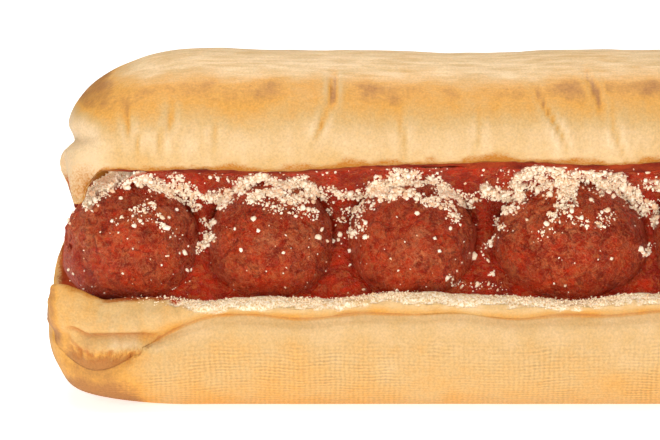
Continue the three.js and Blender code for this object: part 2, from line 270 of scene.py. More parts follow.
def heel_lip_height(x):
    """The front edge of the heel's cut face: level with small waves, and higher at the ends."""
    waves = 0.7 * np.sin(x / 11 + 0.4) + 0.35 * np.sin(x / 4.7 + 2)
    sag = HEEL_SAG * ramp((np.abs(x) - 100) / 12)
    return HEEL_LIP[1] + waves - sag + HEEL_RISE * ramp((np.abs(x) - 133) / 12)


def crown_lip_height(x):
    """The front edge of the crown's cut face: level with two sine waves, and curled down at the ends."""
    waves = 1.1 * np.sin(x / 42 + 1.5) + 0.3 * np.sin(x / 6.3)
    return CROWN_LIP[1] + waves - LIP_CURL * ramp((np.abs(x) - 134) / 6.5)


def roof_height(x):
    """The top of the crown: two slow sine waves about a level line."""
    return ROLL_HEIGHT + 0.35 * np.sin(x / 16 + 0.9) + 0.25 * np.sin(x / 31) - 0.6


def crust_spans():
    """The crust's outline from the heel's lip round to the crown's: (steps, function of x and share)."""

    def shoulder(x, s):
        lip = heel_lip_height(x)
        crease = crease_height(x)
        bulge = SHOULDER_BULGE + 0.12 * (lip - crease)
        return mix(HEEL_LIP[0], CREASE_FRONT, s) - bulge * np.sin(np.pi * s**0.8), mix(lip, crease, s)

    def under_crease(x, s):
        crease = crease_height(x)
        return mix(CREASE_FRONT, -HALF_WIDTH, s), crease - CREASE_REACH * s

    def front(x, s):
        top = crease_height(x) - CREASE_REACH
        return bend((-HALF_WIDTH, top), (-HALF_WIDTH, 0), (-BASE_HALF_WIDTH, 0), s, CORNER_SQUARENESS)

    def base(x, s):
        return mix(-BASE_HALF_WIDTH, BASE_HALF_WIDTH, s), 0 * x

    def back_crease(x):
        return CREASE_HEIGHT + 0.7 * np.sin(x / 13)

    def low_back(x, s):
        top = back_crease(x) - CREASE_REACH
        return bend((BASE_HALF_WIDTH, 0), (HALF_WIDTH, 0), (HALF_WIDTH, top), s, CORNER_SQUARENESS)

    def over_crease(x, s):
        return HALF_WIDTH - 0.9 * s, back_crease(x) - CREASE_REACH * (1 - s)

    def back(x, s):
        return HALF_WIDTH - 0.9 - 0.1 * s + 0.8 * np.sin(np.pi * s), mix(back_crease(x), BACK_SPRING, s)

    def high_back(x, s):
        roof = roof_height(x)
        return bend((HALF_WIDTH - 1, BACK_SPRING), (HALF_WIDTH - 1, roof), (1, roof), s, CORNER_SQUARENESS)

    def brow(x, s):
        roof = roof_height(x)
        return bend((1, roof), (CROWN_FRONT, roof), (CROWN_FRONT, CROWN_SPRING), s, 2.2)

    def edge(x, s):
        lip = crown_lip_height(x)
        return bend((CROWN_FRONT, CROWN_SPRING), (CROWN_FRONT, lip + 0.4), (CROWN_LIP[0], lip), s, 2)

    return [
        (4, shoulder),
        (1, under_crease),
        (4, front),
        (2, base),
        (3, low_back),
        (1, over_crease),
        (5, back),
        (4, high_back),
        (5, brow),
        (2, edge),
    ]


def heel_face(y, lip):
    """The heel's cut face: a shallow dish that climbs to the lip more and more steeply."""
    deepest = -8
    behind = HEEL_DISH + 1.5 * ((y - deepest) / (HEEL_FACE_BACK[0] - deepest)) ** 2
    rise = np.maximum(deepest - y, 0) / (deepest - HEEL_LIP[0])
    return np.where(y > deepest, behind, HEEL_DISH + (lip - HEEL_DISH) * rise**2.6)


def crown_face(y, lip):
    """The crown's cut face: it falls to the hinge and climbs a little to the lip."""
    lowest = -10
    behind = CROWN_FACE - 2.4 * ((y - lowest) / (CROWN_FACE_BACK[0] - lowest)) ** 2
    rise = np.maximum(lowest - y, 0) / (lowest - CROWN_LIP[0])
    return np.where(y > lowest, behind, CROWN_FACE + (lip - CROWN_FACE) * rise**1.8)


def face_spans():
    """The slit's faces, as spans that together take as many steps as the crust's."""

    def middle(x):
        return HINGE_INSIDE - LOBE_DEPTH * ramp((np.abs(x) - 126) / 14)

    def heel(x, s):
        y = mix(HEEL_LIP[0], HEEL_FACE_BACK[0], s**1.15) + 0 * x
        return y, heel_face(y, heel_lip_height(x))

    def low_hinge(x, s):
        inside = middle(x)
        return bend(HEEL_FACE_BACK, (inside, HEEL_FACE_BACK[1] + 1), (inside, HINGE_TURN), s, 2.2)

    def high_hinge(x, s):
        inside = middle(x)
        return bend((inside, HINGE_TURN), (inside, CROWN_FACE_BACK[1] - 1), CROWN_FACE_BACK, s, 2)

    def crown(x, s):
        y = mix(CROWN_FACE_BACK[0], CROWN_LIP[0], s) + 0 * x
        return y, crown_face(y, crown_lip_height(x))

    return [(15, heel), (3, low_hinge), (3, high_hinge), (10, crown)]


def walk(spans, x, index):
    """The (y, z) places on a line of spans, for a grid of x and a row of indices along the line."""
    places = np.zeros(x.shape + (2,))
    start = 0
    for steps, place in spans:
        here = (index >= start) & (index <= start + steps)
        if here.any():
            y, z = place(x[:, here], (index[here] - start) / steps)
            places[:, here, 0] = y
            places[:, here, 1] = z
        start += steps
    return places


RING_STEPS = sum(steps for steps, _ in crust_spans())


def crown_share(index):
    """0 on the heel and 1 on the crown, with a smooth step at the hinge."""
    return ramp((index - 15) / 6)


def tip_of(x, index):
    """The crust, the face, the line between them where an end closes, and how far out X goes there."""
    crust = walk(crust_spans(), x, index)
    face = walk(face_spans(), x, index)
    line = mix(crust, face, TIP_DEPTH)
    square = mix(*PLAN_SQUARENESS, crown_share(index))
    inward = 1 - np.abs(line[..., 0] / PLAN_HALF_WIDTH) ** square
    reach = mix(ROLL_LENGTH, CROWN_LENGTH, crown_share(index)) / 2
    lobe = LOBE_BULGE * bell(line[..., 1] - LOBE_HEIGHT, 6.5) - HINGE_PINCH * bell(line[..., 1] - 39, 4)
    return crust, face, line, mix(END_START, reach, inward ** (1 / square)) + lobe


def relief(places):
    """Swells, end folds and the pouch, in millimetres along the normal, as the solid roll has them."""
    x, y, z = np.moveaxis(places, -1, 0)
    swell = 0.45 * np.sin(x / 14 + y / 19) * np.sin(z / 17 + 1)
    swell = swell + 0.3 * np.sin(x / 7.5 + z / 11 + 2) * np.cos(y / 13)
    end_fold = -2.7 * bell(z - 64.7 + 0.21 * y, 2.4) * ramp((np.abs(x) - 134) / 9)
    front = ramp((-12 - y) / 8)
    pouch = -0.9 * bell(z - 19.8, 1.8) * ramp((POUCH_START - x) / 6) * front
    lobe_edge = -0.8 * bell(np.abs(x) - 138, 1.8) * ramp((z - 53) / 3) * ramp((73 - z) / 5) * front
    return swell * ramp((z - 0.5) / 8) + end_fold + pouch + lobe_edge


# Samples on each span of the crust's outline, closest together where the front shows
RING_SAMPLES = (40, 8, 26, 4, 5, 2, 8, 10, 32, 14)
BODY_ROWS = 196
END_ROWS = 56

# Wrinkles on the crown's front: place along X, height of the middle, half length, slant and depth
CROWN_WRINKLES = (
    (-128, 72.5, 4, 0.0, 0.45),
    (-125, 69, 3, 0.1, 0.4),
    (-119.4, 69, 3, 0.1, 0.45),
    (-117.8, 74.5, 3.5, 0.05, 0.4),
    (-106, 71, 3, -0.1, 0.25),
    (-80.2, 73.3, 3.5, 0.25, 0.6),
    (-77, 81, 3.5, -0.1, 0.9),
    (-60, 70, 5, -0.2, 0.25),
    (-41, 72, 5, 0.1, 0.25),
    (-22, 73, 7, -0.45, 0.5),
    (-12, 81, 5, -0.25, 0.45),
    (-6, 70, 5, -0.3, 0.4),
    (22, 73, 6, 0.2, 0.4),
    (48, 75, 7, -0.2, 0.45),
    (75, 71, 5, 0.15, 0.4),
    (97, 73, 6, -0.1, 0.4),
    (121, 70, 5, 0.2, 0.4),
)

# Dimples on the shoulder between the heel's lip and its crease, in the same terms
SHOULDER_WRINKLES = (
    (-130.3, 26.5, 2.4, 0.25, 0.35),
    (-125.3, 24.5, 3.0, -0.2, 0.5),
    (-118.3, 25.5, 2.0, 0.3, 0.35),
    (-116.0, 28.0, 1.8, -0.5, 0.4),
    (-106.0, 28.0, 1.5, 0.4, 0.3),
    (-91.0, 27.6, 1.2, -0.4, 0.3),
    (-73.0, 27.9, 1.2, 0.5, 0.3),
    (-52.0, 27.6, 1.2, -0.3, 0.35),
    (-35.0, 28.0, 1.2, 0.4, 0.3),
    (-14.0, 27.6, 1.2, 0.5, 0.3),
    (11.0, 28.0, 1.2, -0.4, 0.3),
    (36.0, 27.6, 1.2, 0.3, 0.35),
    (61.0, 27.9, 1.2, -0.5, 0.3),
    (88.0, 27.7, 1.2, 0.4, 0.3),
    (112.0, 27.6, 1.6, -0.3, 0.35),
    (124.0, 25.0, 2.6, 0.2, 0.45),
    (131.0, 25.5, 2.4, -0.2, 0.35),
)


def roll_grid():
    """The roll as a grid: rows run along X, and a row goes round the crust and back along the faces.

    In the body X is the same all along a row. At an end a row is a superellipse's step: X goes out with
    the sine of an angle and the crust and the face close on their tip line with its cosine."""
    index = [np.array([0.0])]
    start = 0
    for (steps, _), samples in zip(crust_spans(), RING_SAMPLES):
        index.append(start + steps * np.arange(1, samples + 1) / samples)
        start += steps
    index = np.concatenate(index)
    ring = np.concatenate([index, index[-2:0:-1]])
    inside = np.arange(len(ring)) >= len(index)
    squareness = mix(HEEL_SQUARENESS, CROWN_SQUARENESS, crown_share(ring))

    angle = np.pi / 2 * (0.5 - 0.5 * np.cos(np.pi * np.arange(1, END_ROWS + 1) / END_ROWS))[:, None]
    out = np.sin(angle) ** (2 / squareness)
    full = np.maximum(np.cos(angle), 0) ** (2 / squareness)
    full[-1] = 0

    blocks = []
    for side in (-1, 1):
        edge = np.full((1, len(ring)), side * END_START, dtype=float)
        x = side * mix(END_START, tip_of(edge, ring)[3], out)
        crust, face, line, _ = tip_of(x, ring)
        shell = np.where(inside[None, :, None], face, crust)
        section = mix(line, shell, full[..., None])
        blocks.append(np.concatenate([x[..., None], section], axis=-1))
    x = np.linspace(-END_START, END_START, BODY_ROWS)[:, None] * np.ones(len(ring))
    section = np.where(inside[None, :, None], walk(face_spans(), x, ring), walk(crust_spans(), x, ring))
    body = np.concatenate([x[..., None], section], axis=-1)
    places = np.concatenate([blocks[0][::-1], body, blocks[1]])
    return places, ring, inside


# Where sauce soaked into the crown's edge: place along X, half length, strength
EDGE_STAINS = (
    (-101, 4, 1.0),
    (-86, 3, 0.5),
    (-72, 5, 0.9),
    (-53, 3, 0.5),
    (-36, 6, 1.0),
    (-17, 4, 0.6),
    (3, 5, 0.8),
    (24, 4, 0.7),
    (47, 6, 0.9),
    (70, 4, 0.6),
    (92, 5, 0.9),
    (118, 4, 0.8),
)


def wrinkle_lines(x, z, wrinkles):
    """Wrinkles as lines, and the raised shine beside each, weighted by their depths."""
    lines = 0 * x
    shine = 0 * x
    for place, height, half, slant, depth in wrinkles:
        line = x - place - slant * (z - height) - 0.6 * np.sin(z / 3 + place)
        along = depth * bell(z - height, half)
        lines = lines + along * bell(line, 0.7)
        shine = shine + along * bell(np.abs(line) - 1.7, 1.0)
    return lines, shine


def bake_of(places, normals, ring, inside, broad, fine):
    """How brown the crust is: by height on the crown, less on top as painted highlight, and by itself on
    the heel's strip.
    """
    x, y, z = np.moveaxis(places, -1, 0)
    out = np.abs(x)
    streak = cloud(places, (1.7, 6, 12), 3, 12)
    # Painted highlight: less brown where the crown faces up
    brown = ramp((z - 69.5 - 2.5 * broad) / 11.5) * (1 - 0.8 * ramp((normals[..., 2] - 0.85) / 0.14))
    bake = 0.27 + 0.57 * brown
    # Wrinkle lines darken the crust as painted shade in the creases, and the shine beside each pales it as
    # painted highlight
    lines, shine = wrinkle_lines(x, z, CROWN_WRINKLES + SHOULDER_WRINKLES)
    bake = bake + (0.9 * lines - 0.45 * shine) * ramp((-8 - y) / 8) * ((z > CROWN_LOW) | (ring < 4))
    bake = bake + 0.09 * streak * ramp((z - 58) / 6) * ramp((82 - z) / 8)
    bake = bake + 0.16 * ramp((out - 118) / 10) * bell(z - 76, 5)

    heel = 0.36 + 0.2 * ramp((24 - z) / 22)
    bake = np.where(z < HEEL_TOP, heel, bake + 0.08 * ramp((68 - z) / 6) * ~inside)
    strip = (ring < 4.2) & ~inside
    bake = np.where(strip, 0.4 + 0.26 * ramp((ring - 2.2) / 1.4) + 0.2 * streak, bake)
    bake = bake + 0.16 * broad + 0.1 * fine

    high_end = 0.35 * ramp((z - 73) / 4) * ramp((86 - z) / 5) - 0.6 * ramp((75 - z) / 5)
    bake = bake + ramp((out - 131) / 9) * (z > HEEL_TOP) * high_end
    # Darker towards the heel's lower ends: partly browner crust, partly painted shade
    strip_end = 0.08 + 0.34 * ramp((17 - z) / 5) + 0.3 * ramp((out - 143.5) / 4)
    low_end = np.where(strip, strip_end, 0.32 + 0.28 * ramp((10 - z) / 8))
    start = 118 + 0.7 * ramp((z - 18) / 10) * 14
    bake = bake + ramp((out - start) / 14) * (z < HEEL_TOP) * low_end
    return np.where(inside & (z > HEEL_TOP), 0.12, bake)


def cut_values(places, ring, inside, broad):
    """Where the crumb lies bare, and where sauce stains the bread."""
    x, y, z = np.moveaxis(places, -1, 0)
    out = np.abs(x)
    heel_inside = z < INSIDE_HEEL_TOP
    from_heel_lip = np.where(inside, 0, heel_lip_height(x) - z)
    from_crown_lip = (RING_STEPS - ring) * 3.4
    ragged = cloud(places, (2.4, 2.4, 1.2), 3, 7)
    torn = 2.2 - 1.7 * ramp((out - 109 - 3 * broad) / 14)
    heel_tear = ramp((torn * (1 + 0.9 * ragged + 0.3 * broad) - from_heel_lip) / 0.6)
    crumb = np.where(inside, 1, np.where(ring < 6, heel_tear, 0))

    soaked = sum(strength * bell(x - place, half) for place, half, strength in EDGE_STAINS)
    reach = 2.6 + 1.8 * cloud(places, (3, 2, 2), 3, 8) + 1.9 * soaked
    near_crown = ramp((reach - from_crown_lip) / (1.4 + 1.2 * soaked)) * (0.8 + 0.2 * soaked)
    stain = np.where(inside, 1, np.where(ring > 25, near_crown, 0))
    heel_stain = ramp((0.45 + cloud(places, 4, 3, 9)) / 0.7) * ramp((ring - 0.9) / 2.5)
    heel_stain = np.clip(heel_stain + ramp((ring - 2.5) / 3) + ramp((out - 128) / 5), 0, 1)
    stain = np.where(inside & (ring < 12), heel_stain, stain)
    stain = np.where(inside, stain * (1 - ramp((out - np.where(heel_inside, 147, 138)) / 3)), stain)
    seep = ramp((0.8 + ragged - from_heel_lip) / 0.6) * ramp((out - 112) / 6) * (ring < 4) * ~inside
    stain = np.maximum(stain, 0.85 * seep * ramp((146 - out) / 3))
    smear = bell(out - 138.5, 4) * bell(z - 56.5, 4.5) * ramp((2 - y) / 6)
    smear = smear * ramp((cloud(places, 3, 3, 13) + 0.7) / 0.5) * (z > HEEL_TOP)
    stain = np.clip(np.maximum(stain, 0.9 * smear), 0, 1)
    crumb = np.maximum(crumb * (1 - ramp((out - 128) / 8)), stain * inside * heel_inside)
    return crumb, stain


def fold_values(places, ring, outside, fine):
    """Where the creases and the pleats in the left end's pouch take painted shade, and the painted gleam
    on the roll above it.
    """
    x, y, z = np.moveaxis(places, -1, 0)
    crease = bell((ring - 4.0) * 2.4, 0.24) * outside * (ring < 6)
    crease = crease * (0.75 + 0.4 * fine) * (1 - ramp((np.abs(x) - 131) / 8))
    left = ramp((x + 145) / 3) * ramp((-18 - y) / 5) * outside
    fold = bell(z - pouch_height(x), 0.5) * ramp((POUCH_START - x) / 4)
    under = bell(z - 13.9 - 0.75 * (-135.4 - x), 0.6) * ramp((-133 - x) / 3)
    small = ramp((cloud(places, *POUCH_FOLDS) - 0.1) / 0.2) * bell(z - 16.2, 2.4)
    small = small * ramp((POUCH_START - x) / 4)
    crease = np.clip(crease + (0.9 * fold + 0.7 * under + 0.9 * small) * left, 0, 1)
    pleat = bell(z - 15.4, 2.2) * ramp((POUCH_START + 2 - x) / 5) * left * (ring < 4.6)
    gleam = bell(z - pouch_height(x) + 2.2, 1.2) * bell(x + 127, 5) * left
    return crease, pleat, gleam


def roll_values(places, normals, ring, inside):
    """What the bread's materials read at each vertex, each from 0 to 1."""
    x, y, z = np.moveaxis(places, -1, 0)
    ring = np.broadcast_to(ring, x.shape)
    inside = np.broadcast_to(inside, x.shape)
    broad = cloud(places, 24, 3, 5)
    fine = cloud(places, 5, 3, 6)
    crumb, stain = cut_values(places, ring, inside, broad)
    crease, pleat, gleam = fold_values(places, ring, ~inside, fine)
    bake = bake_of(places, normals, ring, inside, broad, fine) - 0.5 * gleam
    flat = ramp((np.abs(y) - 20) / 6) * ramp((ring - 5.1) / 0.9) * (ring < 14.5) * ~inside
    imprint = np.maximum(flat, (ring >= 9) & (ring <= 11)) * ramp((26 - z) / 4)
    return {
        "bake": np.clip(bake, 0, 1),
        "crumb": crumb,
        "stain": stain,
        "imprint": imprint * (1 - 0.85 * ramp((np.abs(x) - 120) / 16)),
        # Painted sheen: a pale highlight where the crown's outside faces up
        "sheen": ramp((normals[..., 2] - 0.84 - 0.04 * fine) / 0.14) * (z > CROWN_LOW) * ~inside,
        "crease": crease,
        "pleat": pleat,
    }


def pouch_height(x):
    """The line at the left end where the shoulder rolls over the small pouch under it."""
    return 20.1 - 0.8 * np.sin((x + 122) / 6.5) + 2.5 * ramp((-138 - x) / 5)


def roll_detail(places, ring, inside):
    """Fine relief on the roll: wrinkles and dimples on the crust, and torn crumb along the cut edges."""
    x, y, z = np.moveaxis(places, -1, 0)
    outside = ~inside[None, :]
    front = ramp((-8 - y) / 12) * (z > CROWN_LOW) * outside
    push = 0.25 * cloud(places, 9, 2, 31) * outside
    push = push + 0.3 * cloud(places, (2.2, 5, 11), 2, 32) * front * ramp((84 - z) / 8)
    lines, shine = wrinkle_lines(x, z, CROWN_WRINKLES)
    push = push + (0.7 * shine - 1.6 * lines) * front
    heel_strip = (ring < 4.5) & ~inside
    push = push + 0.4 * cloud(places, (5, 4, 2.5), 2, 33) * heel_strip
    lines, shine = wrinkle_lines(x, z, SHOULDER_WRINKLES)
    push = push + (0.5 * shine - 1.4 * lines) * heel_strip * (y < 0)
    left = ramp((POUCH_START - x) / 4) * ramp((x + 145) / 3) * ramp((-20 - y) / 5) * outside
    push = push - 1.1 * bell(z - pouch_height(x), 0.6) * left
    push = push + 1.1 * bell(z - pouch_height(x) + 2.8, 1.7) * left
    push = push - 0.9 * cloud(places, *POUCH_FOLDS) * bell(z - 16.2, 2.8) * left
    shoulder = bell(z - 27, 5) * ramp((-112 - x) / 8) * ramp((x + 136) / 6) * heel_strip
    push = push + 0.4 * cloud(places, (2.4, 6, 8), 2, 37) * shoulder
    below = heel_lip_height(x) - z
    near_heel = ramp((2.6 - below) / 1.5) * (ring < 4) * (1 - 0.6 * ramp((np.abs(x) - 110) / 12))
    near_lip = np.maximum(near_heel, 0.45 * ramp((ring - RING_STEPS + 0.5) / 0.4))
    push = push + near_lip * (0.55 * cloud(places, 1.9, 3, 34) + 0.15)
    push = push + 0.45 * cloud(places, 4, 3, 35) * inside[None, :] * (1 - near_lip)
    return push * ramp((z - 0.3) / 3)


def make_roll():
    """The roll's mesh with its values, and a UV map in millimetres along it and up and over it."""
    places, ring, inside = roll_grid()
    normals = grid_normals(places, wrap=True)
    if np.sum(normals[len(normals) // 2, :, 1] * places[len(normals) // 2, :, 1] * ~inside) < 0:
        normals = -normals
    rows, columns = places.shape[:2]
    partner = np.where(inside, columns - np.arange(columns), np.arange(columns))
    for row in (0, rows - 1):
        normals[row] = unit(normals[row] + normals[row, (columns - np.arange(columns)) % columns])
    rough = places + normals * relief(places)[..., None]
    values = roll_values(rough, normals, ring, inside)
    fine = rough + normals * roll_detail(rough, ring, inside)[..., None]
    x, _, z = np.moveaxis(rough, -1, 0)
    squeeze = ramp((np.abs(x) - 134) / 10) * bell(z - 16, 6.5)
    bulge = 2.2 * ramp((np.abs(x) - 118) / 14) * bell(z - 4.2, 3.2)
    fine[..., 0] += np.sign(x) * (bulge - squeeze)
    ids = np.arange(rows * columns).reshape(rows, columns)
    ids[0] = ids[0, partner]
    ids[-1] = ids[-1, partner]
    piece = build("roll_bread", fine.reshape(-1, 3), ring_faces(ids[:, ::-1]), values)

    used = np.unique(ids)
    add_uv(piece, fine[..., 0].ravel()[used], (fine[..., 2] - 0.8 * fine[..., 1]).ravel()[used])
    return piece


# The meatballs


def ball_centres():
    """The meatballs' places along X: widths and gaps in a row, centred on the roll."""
    start = -(sum(BALL_WIDTHS) + sum(BALL_GAPS)) / 2
    lefts = np.cumsum([start] + [w + g for w, g in zip(BALL_WIDTHS, BALL_GAPS + (0,))])[:-1]
    return lefts + np.array(BALL_WIDTHS) / 2


CENTRES = ball_centres()


def ball_place(k, directions, grown=0.0):
    """Meatball k's surface: an ellipsoid with three sets of crossed sine lumps, narrower above."""
    waves = [2 * math.pi * draw(k + 1, step) for step in range(1, 7)]
    x, y, z = np.moveaxis(directions, -1, 0)
    lumps = 0.022 * np.sin(4.1 * x + 3 * z + waves[0]) * np.sin(3.7 * y + waves[1])
    lumps = lumps + 0.016 * np.sin(8.3 * z + 2 * y + waves[2]) * np.sin(7.1 * x + waves[3])
    lumps = lumps + 0.01 * np.sin(13 * y + waves[4]) * np.sin(12 * x + 5 * z + waves[5])
    size = 0.985 + lumps
    flat = np.sqrt(np.maximum(1e-9, 1 - z**2))
    full = np.maximum(1 - np.maximum(-z, 0) ** BALL_BELLY, 0) ** (1 / BALL_BELLY)
    slump = (1 - BALL_SLUMP * z) * np.where(z < 0, full / flat, 1)
    return np.stack(
        [
            CENTRES[k] + x * (BALL_WIDTHS[k] / 2 * size * slump + grown),
            BALL_CENTRE[0] + y * (BALL_DEPTH / 2 * size * slump + grown),
            BALL_CENTRE[1] + z * (BALL_HEIGHTS[k] / 2 * size + grown),
        ],
        axis=-1,
    )


def film_mask(places, seed):
    """Where a thick film of sauce lies on the meat, from 0 to 1: noise that gains ground lower down."""
    pull = 0.75 * ramp((44 - places[..., 2]) / 16)
    patch = cloud(places, (9, 9, 6), 3, seed) + 0.35 * cloud(places, 3, 2, seed + 3)
    return ramp((patch + pull + 0.12) / 0.16)


BALL_ROWS = 128
BALL_COLUMNS = 170


def make_ball(k):
    """Meatball k: its solid's surface with crags of minced meat, smoother where sauce lies on them."""
    polar = np.pi * np.linspace(0, 1, BALL_ROWS)[:, None]
    turn = 2 * np.pi * np.arange(BALL_COLUMNS)[None, :] / BALL_COLUMNS
    directions = np.stack(
        [np.sin(polar) * np.sin(turn), -np.sin(polar) * np.cos(turn), np.cos(polar) + 0 * turn], axis=-1
    )
    places = ball_place(k, directions)
    normals = grid_normals(places, wrap=True)
    normals[0] = (0, 0, 1)
    normals[-1] = (0, 0, -1)
    if np.sum(normals[BALL_ROWS // 2] * directions[BALL_ROWS // 2]) < 0:
        normals[1:-1] *= -1
    weight = cheese_weight(places, normals)
    dust = dust_of(weight, places)
    sauce = film_mask(places, 40 + k)
    crags = 0.55 - np.abs(cloud(places, 3.4, 3, 60 + k)) * 2.2
    crags = crags + 0.4 * cloud(places, 1.3, 2, 80 + k)
    film = 0.35 * sauce + 0.12 * cloud(places, 4, 2, 100 + k)
    push = 0.62 * crags * mix(1, 0.22, sauce) + film
    pile = 0.6 + 0.5 * cloud(places, 1.3, 2, 120 + k) + 0.6 * ramp((-126 - places[..., 0]) / 4)
    push = push + dust * pile
    pole = np.sin(polar) > 0.02
    push = np.where(pole, push, push.mean(axis=1, keepdims=True))
    fine = places + normals * push[..., None]
    ids = np.arange(BALL_ROWS * BALL_COLUMNS).reshape(BALL_ROWS, BALL_COLUMNS)
    ids[0] = ids[0, 0]
    ids[-1] = ids[-1, 0]
    x, y, z = np.moveaxis(fine, -1, 0)
    beside = ramp((np.abs(x - CENTRES[k]) / (BALL_WIDTHS[k] / 2) - 0.62) / 0.34)
    outer = (x < CENTRES[0]) | (x > CENTRES[-1])
    # Painted shade: the ball darkens at its sides next to a neighbour, behind the front and high up
    hollow = 0.14 * beside * ~outer * ramp((y + 25) / 8) * ramp((z - 32) / 6)
    # Painted light: the ball's lower part is lightened towards bright red in patches, against the shade
    # that falls there
    low = ramp((35 - z) / 8) * ramp((0.55 + cloud(places, 4, 3, 130 + k)) / 0.6)
    # The crag value: low in the cracks, where the meat's colour is darkened as painted shade
    crag = np.clip(0.5 + 0.5 * crags, 0, 1)
    values = {"sauce": sauce, "crag": crag, "hollow": hollow, "dust": dust, "low": low}
    piece = build(f"meatball_{k + 1}_meat", fine.reshape(-1, 3), ring_faces(ids), values)
    return piece, fine, normals, weight


# The sauce

SAUCE_ROWS = 540
SAUCE_WALL_COLUMNS = 46
SAUCE_FRONT_COLUMNS = 96
SAUCE_MIDDLE = (-4.0, 40.6)
SAUCE_HOLLOW = (-6.0, 46.0)


def valley(x):
    """1 in the middle between two neighbouring meatballs and 0 a few millimetres to either side."""
    widths = np.array(BALL_WIDTHS)
    gaps = (CENTRES[:-1] + CENTRES[1:]) / 2 + (widths[:-1] - widths[1:]) / 4
    return sum(bell(x - gap, 4.5) for gap in gaps)


def sauce_outline(x, index):
    """The sauce's section at each x: along the slit's faces a little inside them, then down the front.

    The front has a strip under the crown, a hollow and an apron that runs out to the heel's lip. Between
    two meatballs the hollow and the apron come further forward."""
    column = x[:, None]
    walls = walk(face_spans(), column + 0 * index[None, :], index)
    inward = np.array(SAUCE_MIDDLE) - walls
    walls = walls + 0.6 * inward / np.linalg.norm(inward, axis=-1, keepdims=True)

    toe_height = heel_face(-27.0, heel_lip_height(column)) + 0.3
    toe = (SAUCE_TOE + 0.8 * np.sin(column / 5), toe_height)
    brow_height = crown_face(SAUCE_BROW, crown_lip_height(column)) + 0.5
    brow = (SAUCE_BROW + 0.7 * np.sin(column / 6 + 1), brow_height)
    near = valley(column)
    hollow = (SAUCE_HOLLOW[0] - 5.5 * near, SAUCE_HOLLOW[1] + 0 * column)
    under_crown = (-11 - 3 * near, 56 + 0 * column)
    apron = (-15 - 5 * near, 33.5 + 2 * near + 2 * np.sin(column / 7))
    down = np.linspace(0, 2, SAUCE_FRONT_COLUMNS + 2)[None, 1:-1]
    upper = np.stack(bend(brow, under_crown, hollow, np.minimum(down, 1), 2), axis=-1)
    lower = np.stack(bend(hollow, apron, toe, np.maximum(down - 1, 0), 1.8), axis=-1)
    front = np.where(down[..., None] < 1, upper, lower)
    return np.concatenate([walls, front], axis=1)


def make_sauce():
    """The sauce: its outline swept along X, shrunk to the middle line at both ends, with soft lumps."""
    share = np.linspace(-1, 1, SAUCE_ROWS)
    share = mix(share, np.sin(np.pi / 2 * share), 0.3)
    x = SAUCE_HALF_LENGTH * share
    index = np.linspace(4, RING_STEPS - 4, SAUCE_WALL_COLUMNS)
    section = sauce_outline(x, index)
    shrink = np.sqrt(np.maximum(0, 1 - np.abs(share) ** SAUCE_TAPER))[:, None, None]
    section = np.array(SAUCE_MIDDLE) + (section - np.array(SAUCE_MIDDLE)) * shrink
    places = np.concatenate([x[:, None, None] + 0 * section[..., :1], section], axis=-1)
    normals = grid_normals(places, wrap=True)
    outward = section - np.array(SAUCE_MIDDLE)
    flipped = np.sum(normals[..., 1:] * outward) < 0
    if flipped:
        normals = -normals
    front = ramp((-7 - places[..., 1]) / 4) * ramp((1 - np.abs(share[:, None])) / 0.05)
    lumps = 0.7 * cloud(places, (7, 6, 6), 3, 140) + 0.5 * np.abs(cloud(places, 2.4, 3, 141)) - 0.1
    weight = cheese_weight(places, normals)
    dust = dust_of(weight, places)
    lumps = lumps + dust * (0.6 + 0.5 * cloud(places, 1.3, 2, 142))
    places = places + normals * (lumps * front)[..., None]
    ids = np.arange(places[..., 0].size).reshape(places.shape[:2])
    ids[0] = ids[0, 0]
    ids[-1] = ids[-1, 0]
    faces = ring_faces(ids[:, ::-1] if flipped else ids)
    # Painted shade: the sauce darkens further back in the slit and above 30 mm, less so above 50 mm
    hollow = 0.35 * ramp((places[..., 1] + 23) / 7) * ramp((places[..., 2] - 30) / 5)
    hollow = hollow * (1 - 0.45 * ramp((places[..., 2] - 50) / 5))
    piece = build("sauce_tomato", places.reshape(-1, 3), faces, {"hollow": hollow, "dust": dust})
    return piece, *(part[:, SAUCE_WALL_COLUMNS:] for part in (places, normals, weight))


# The cheese

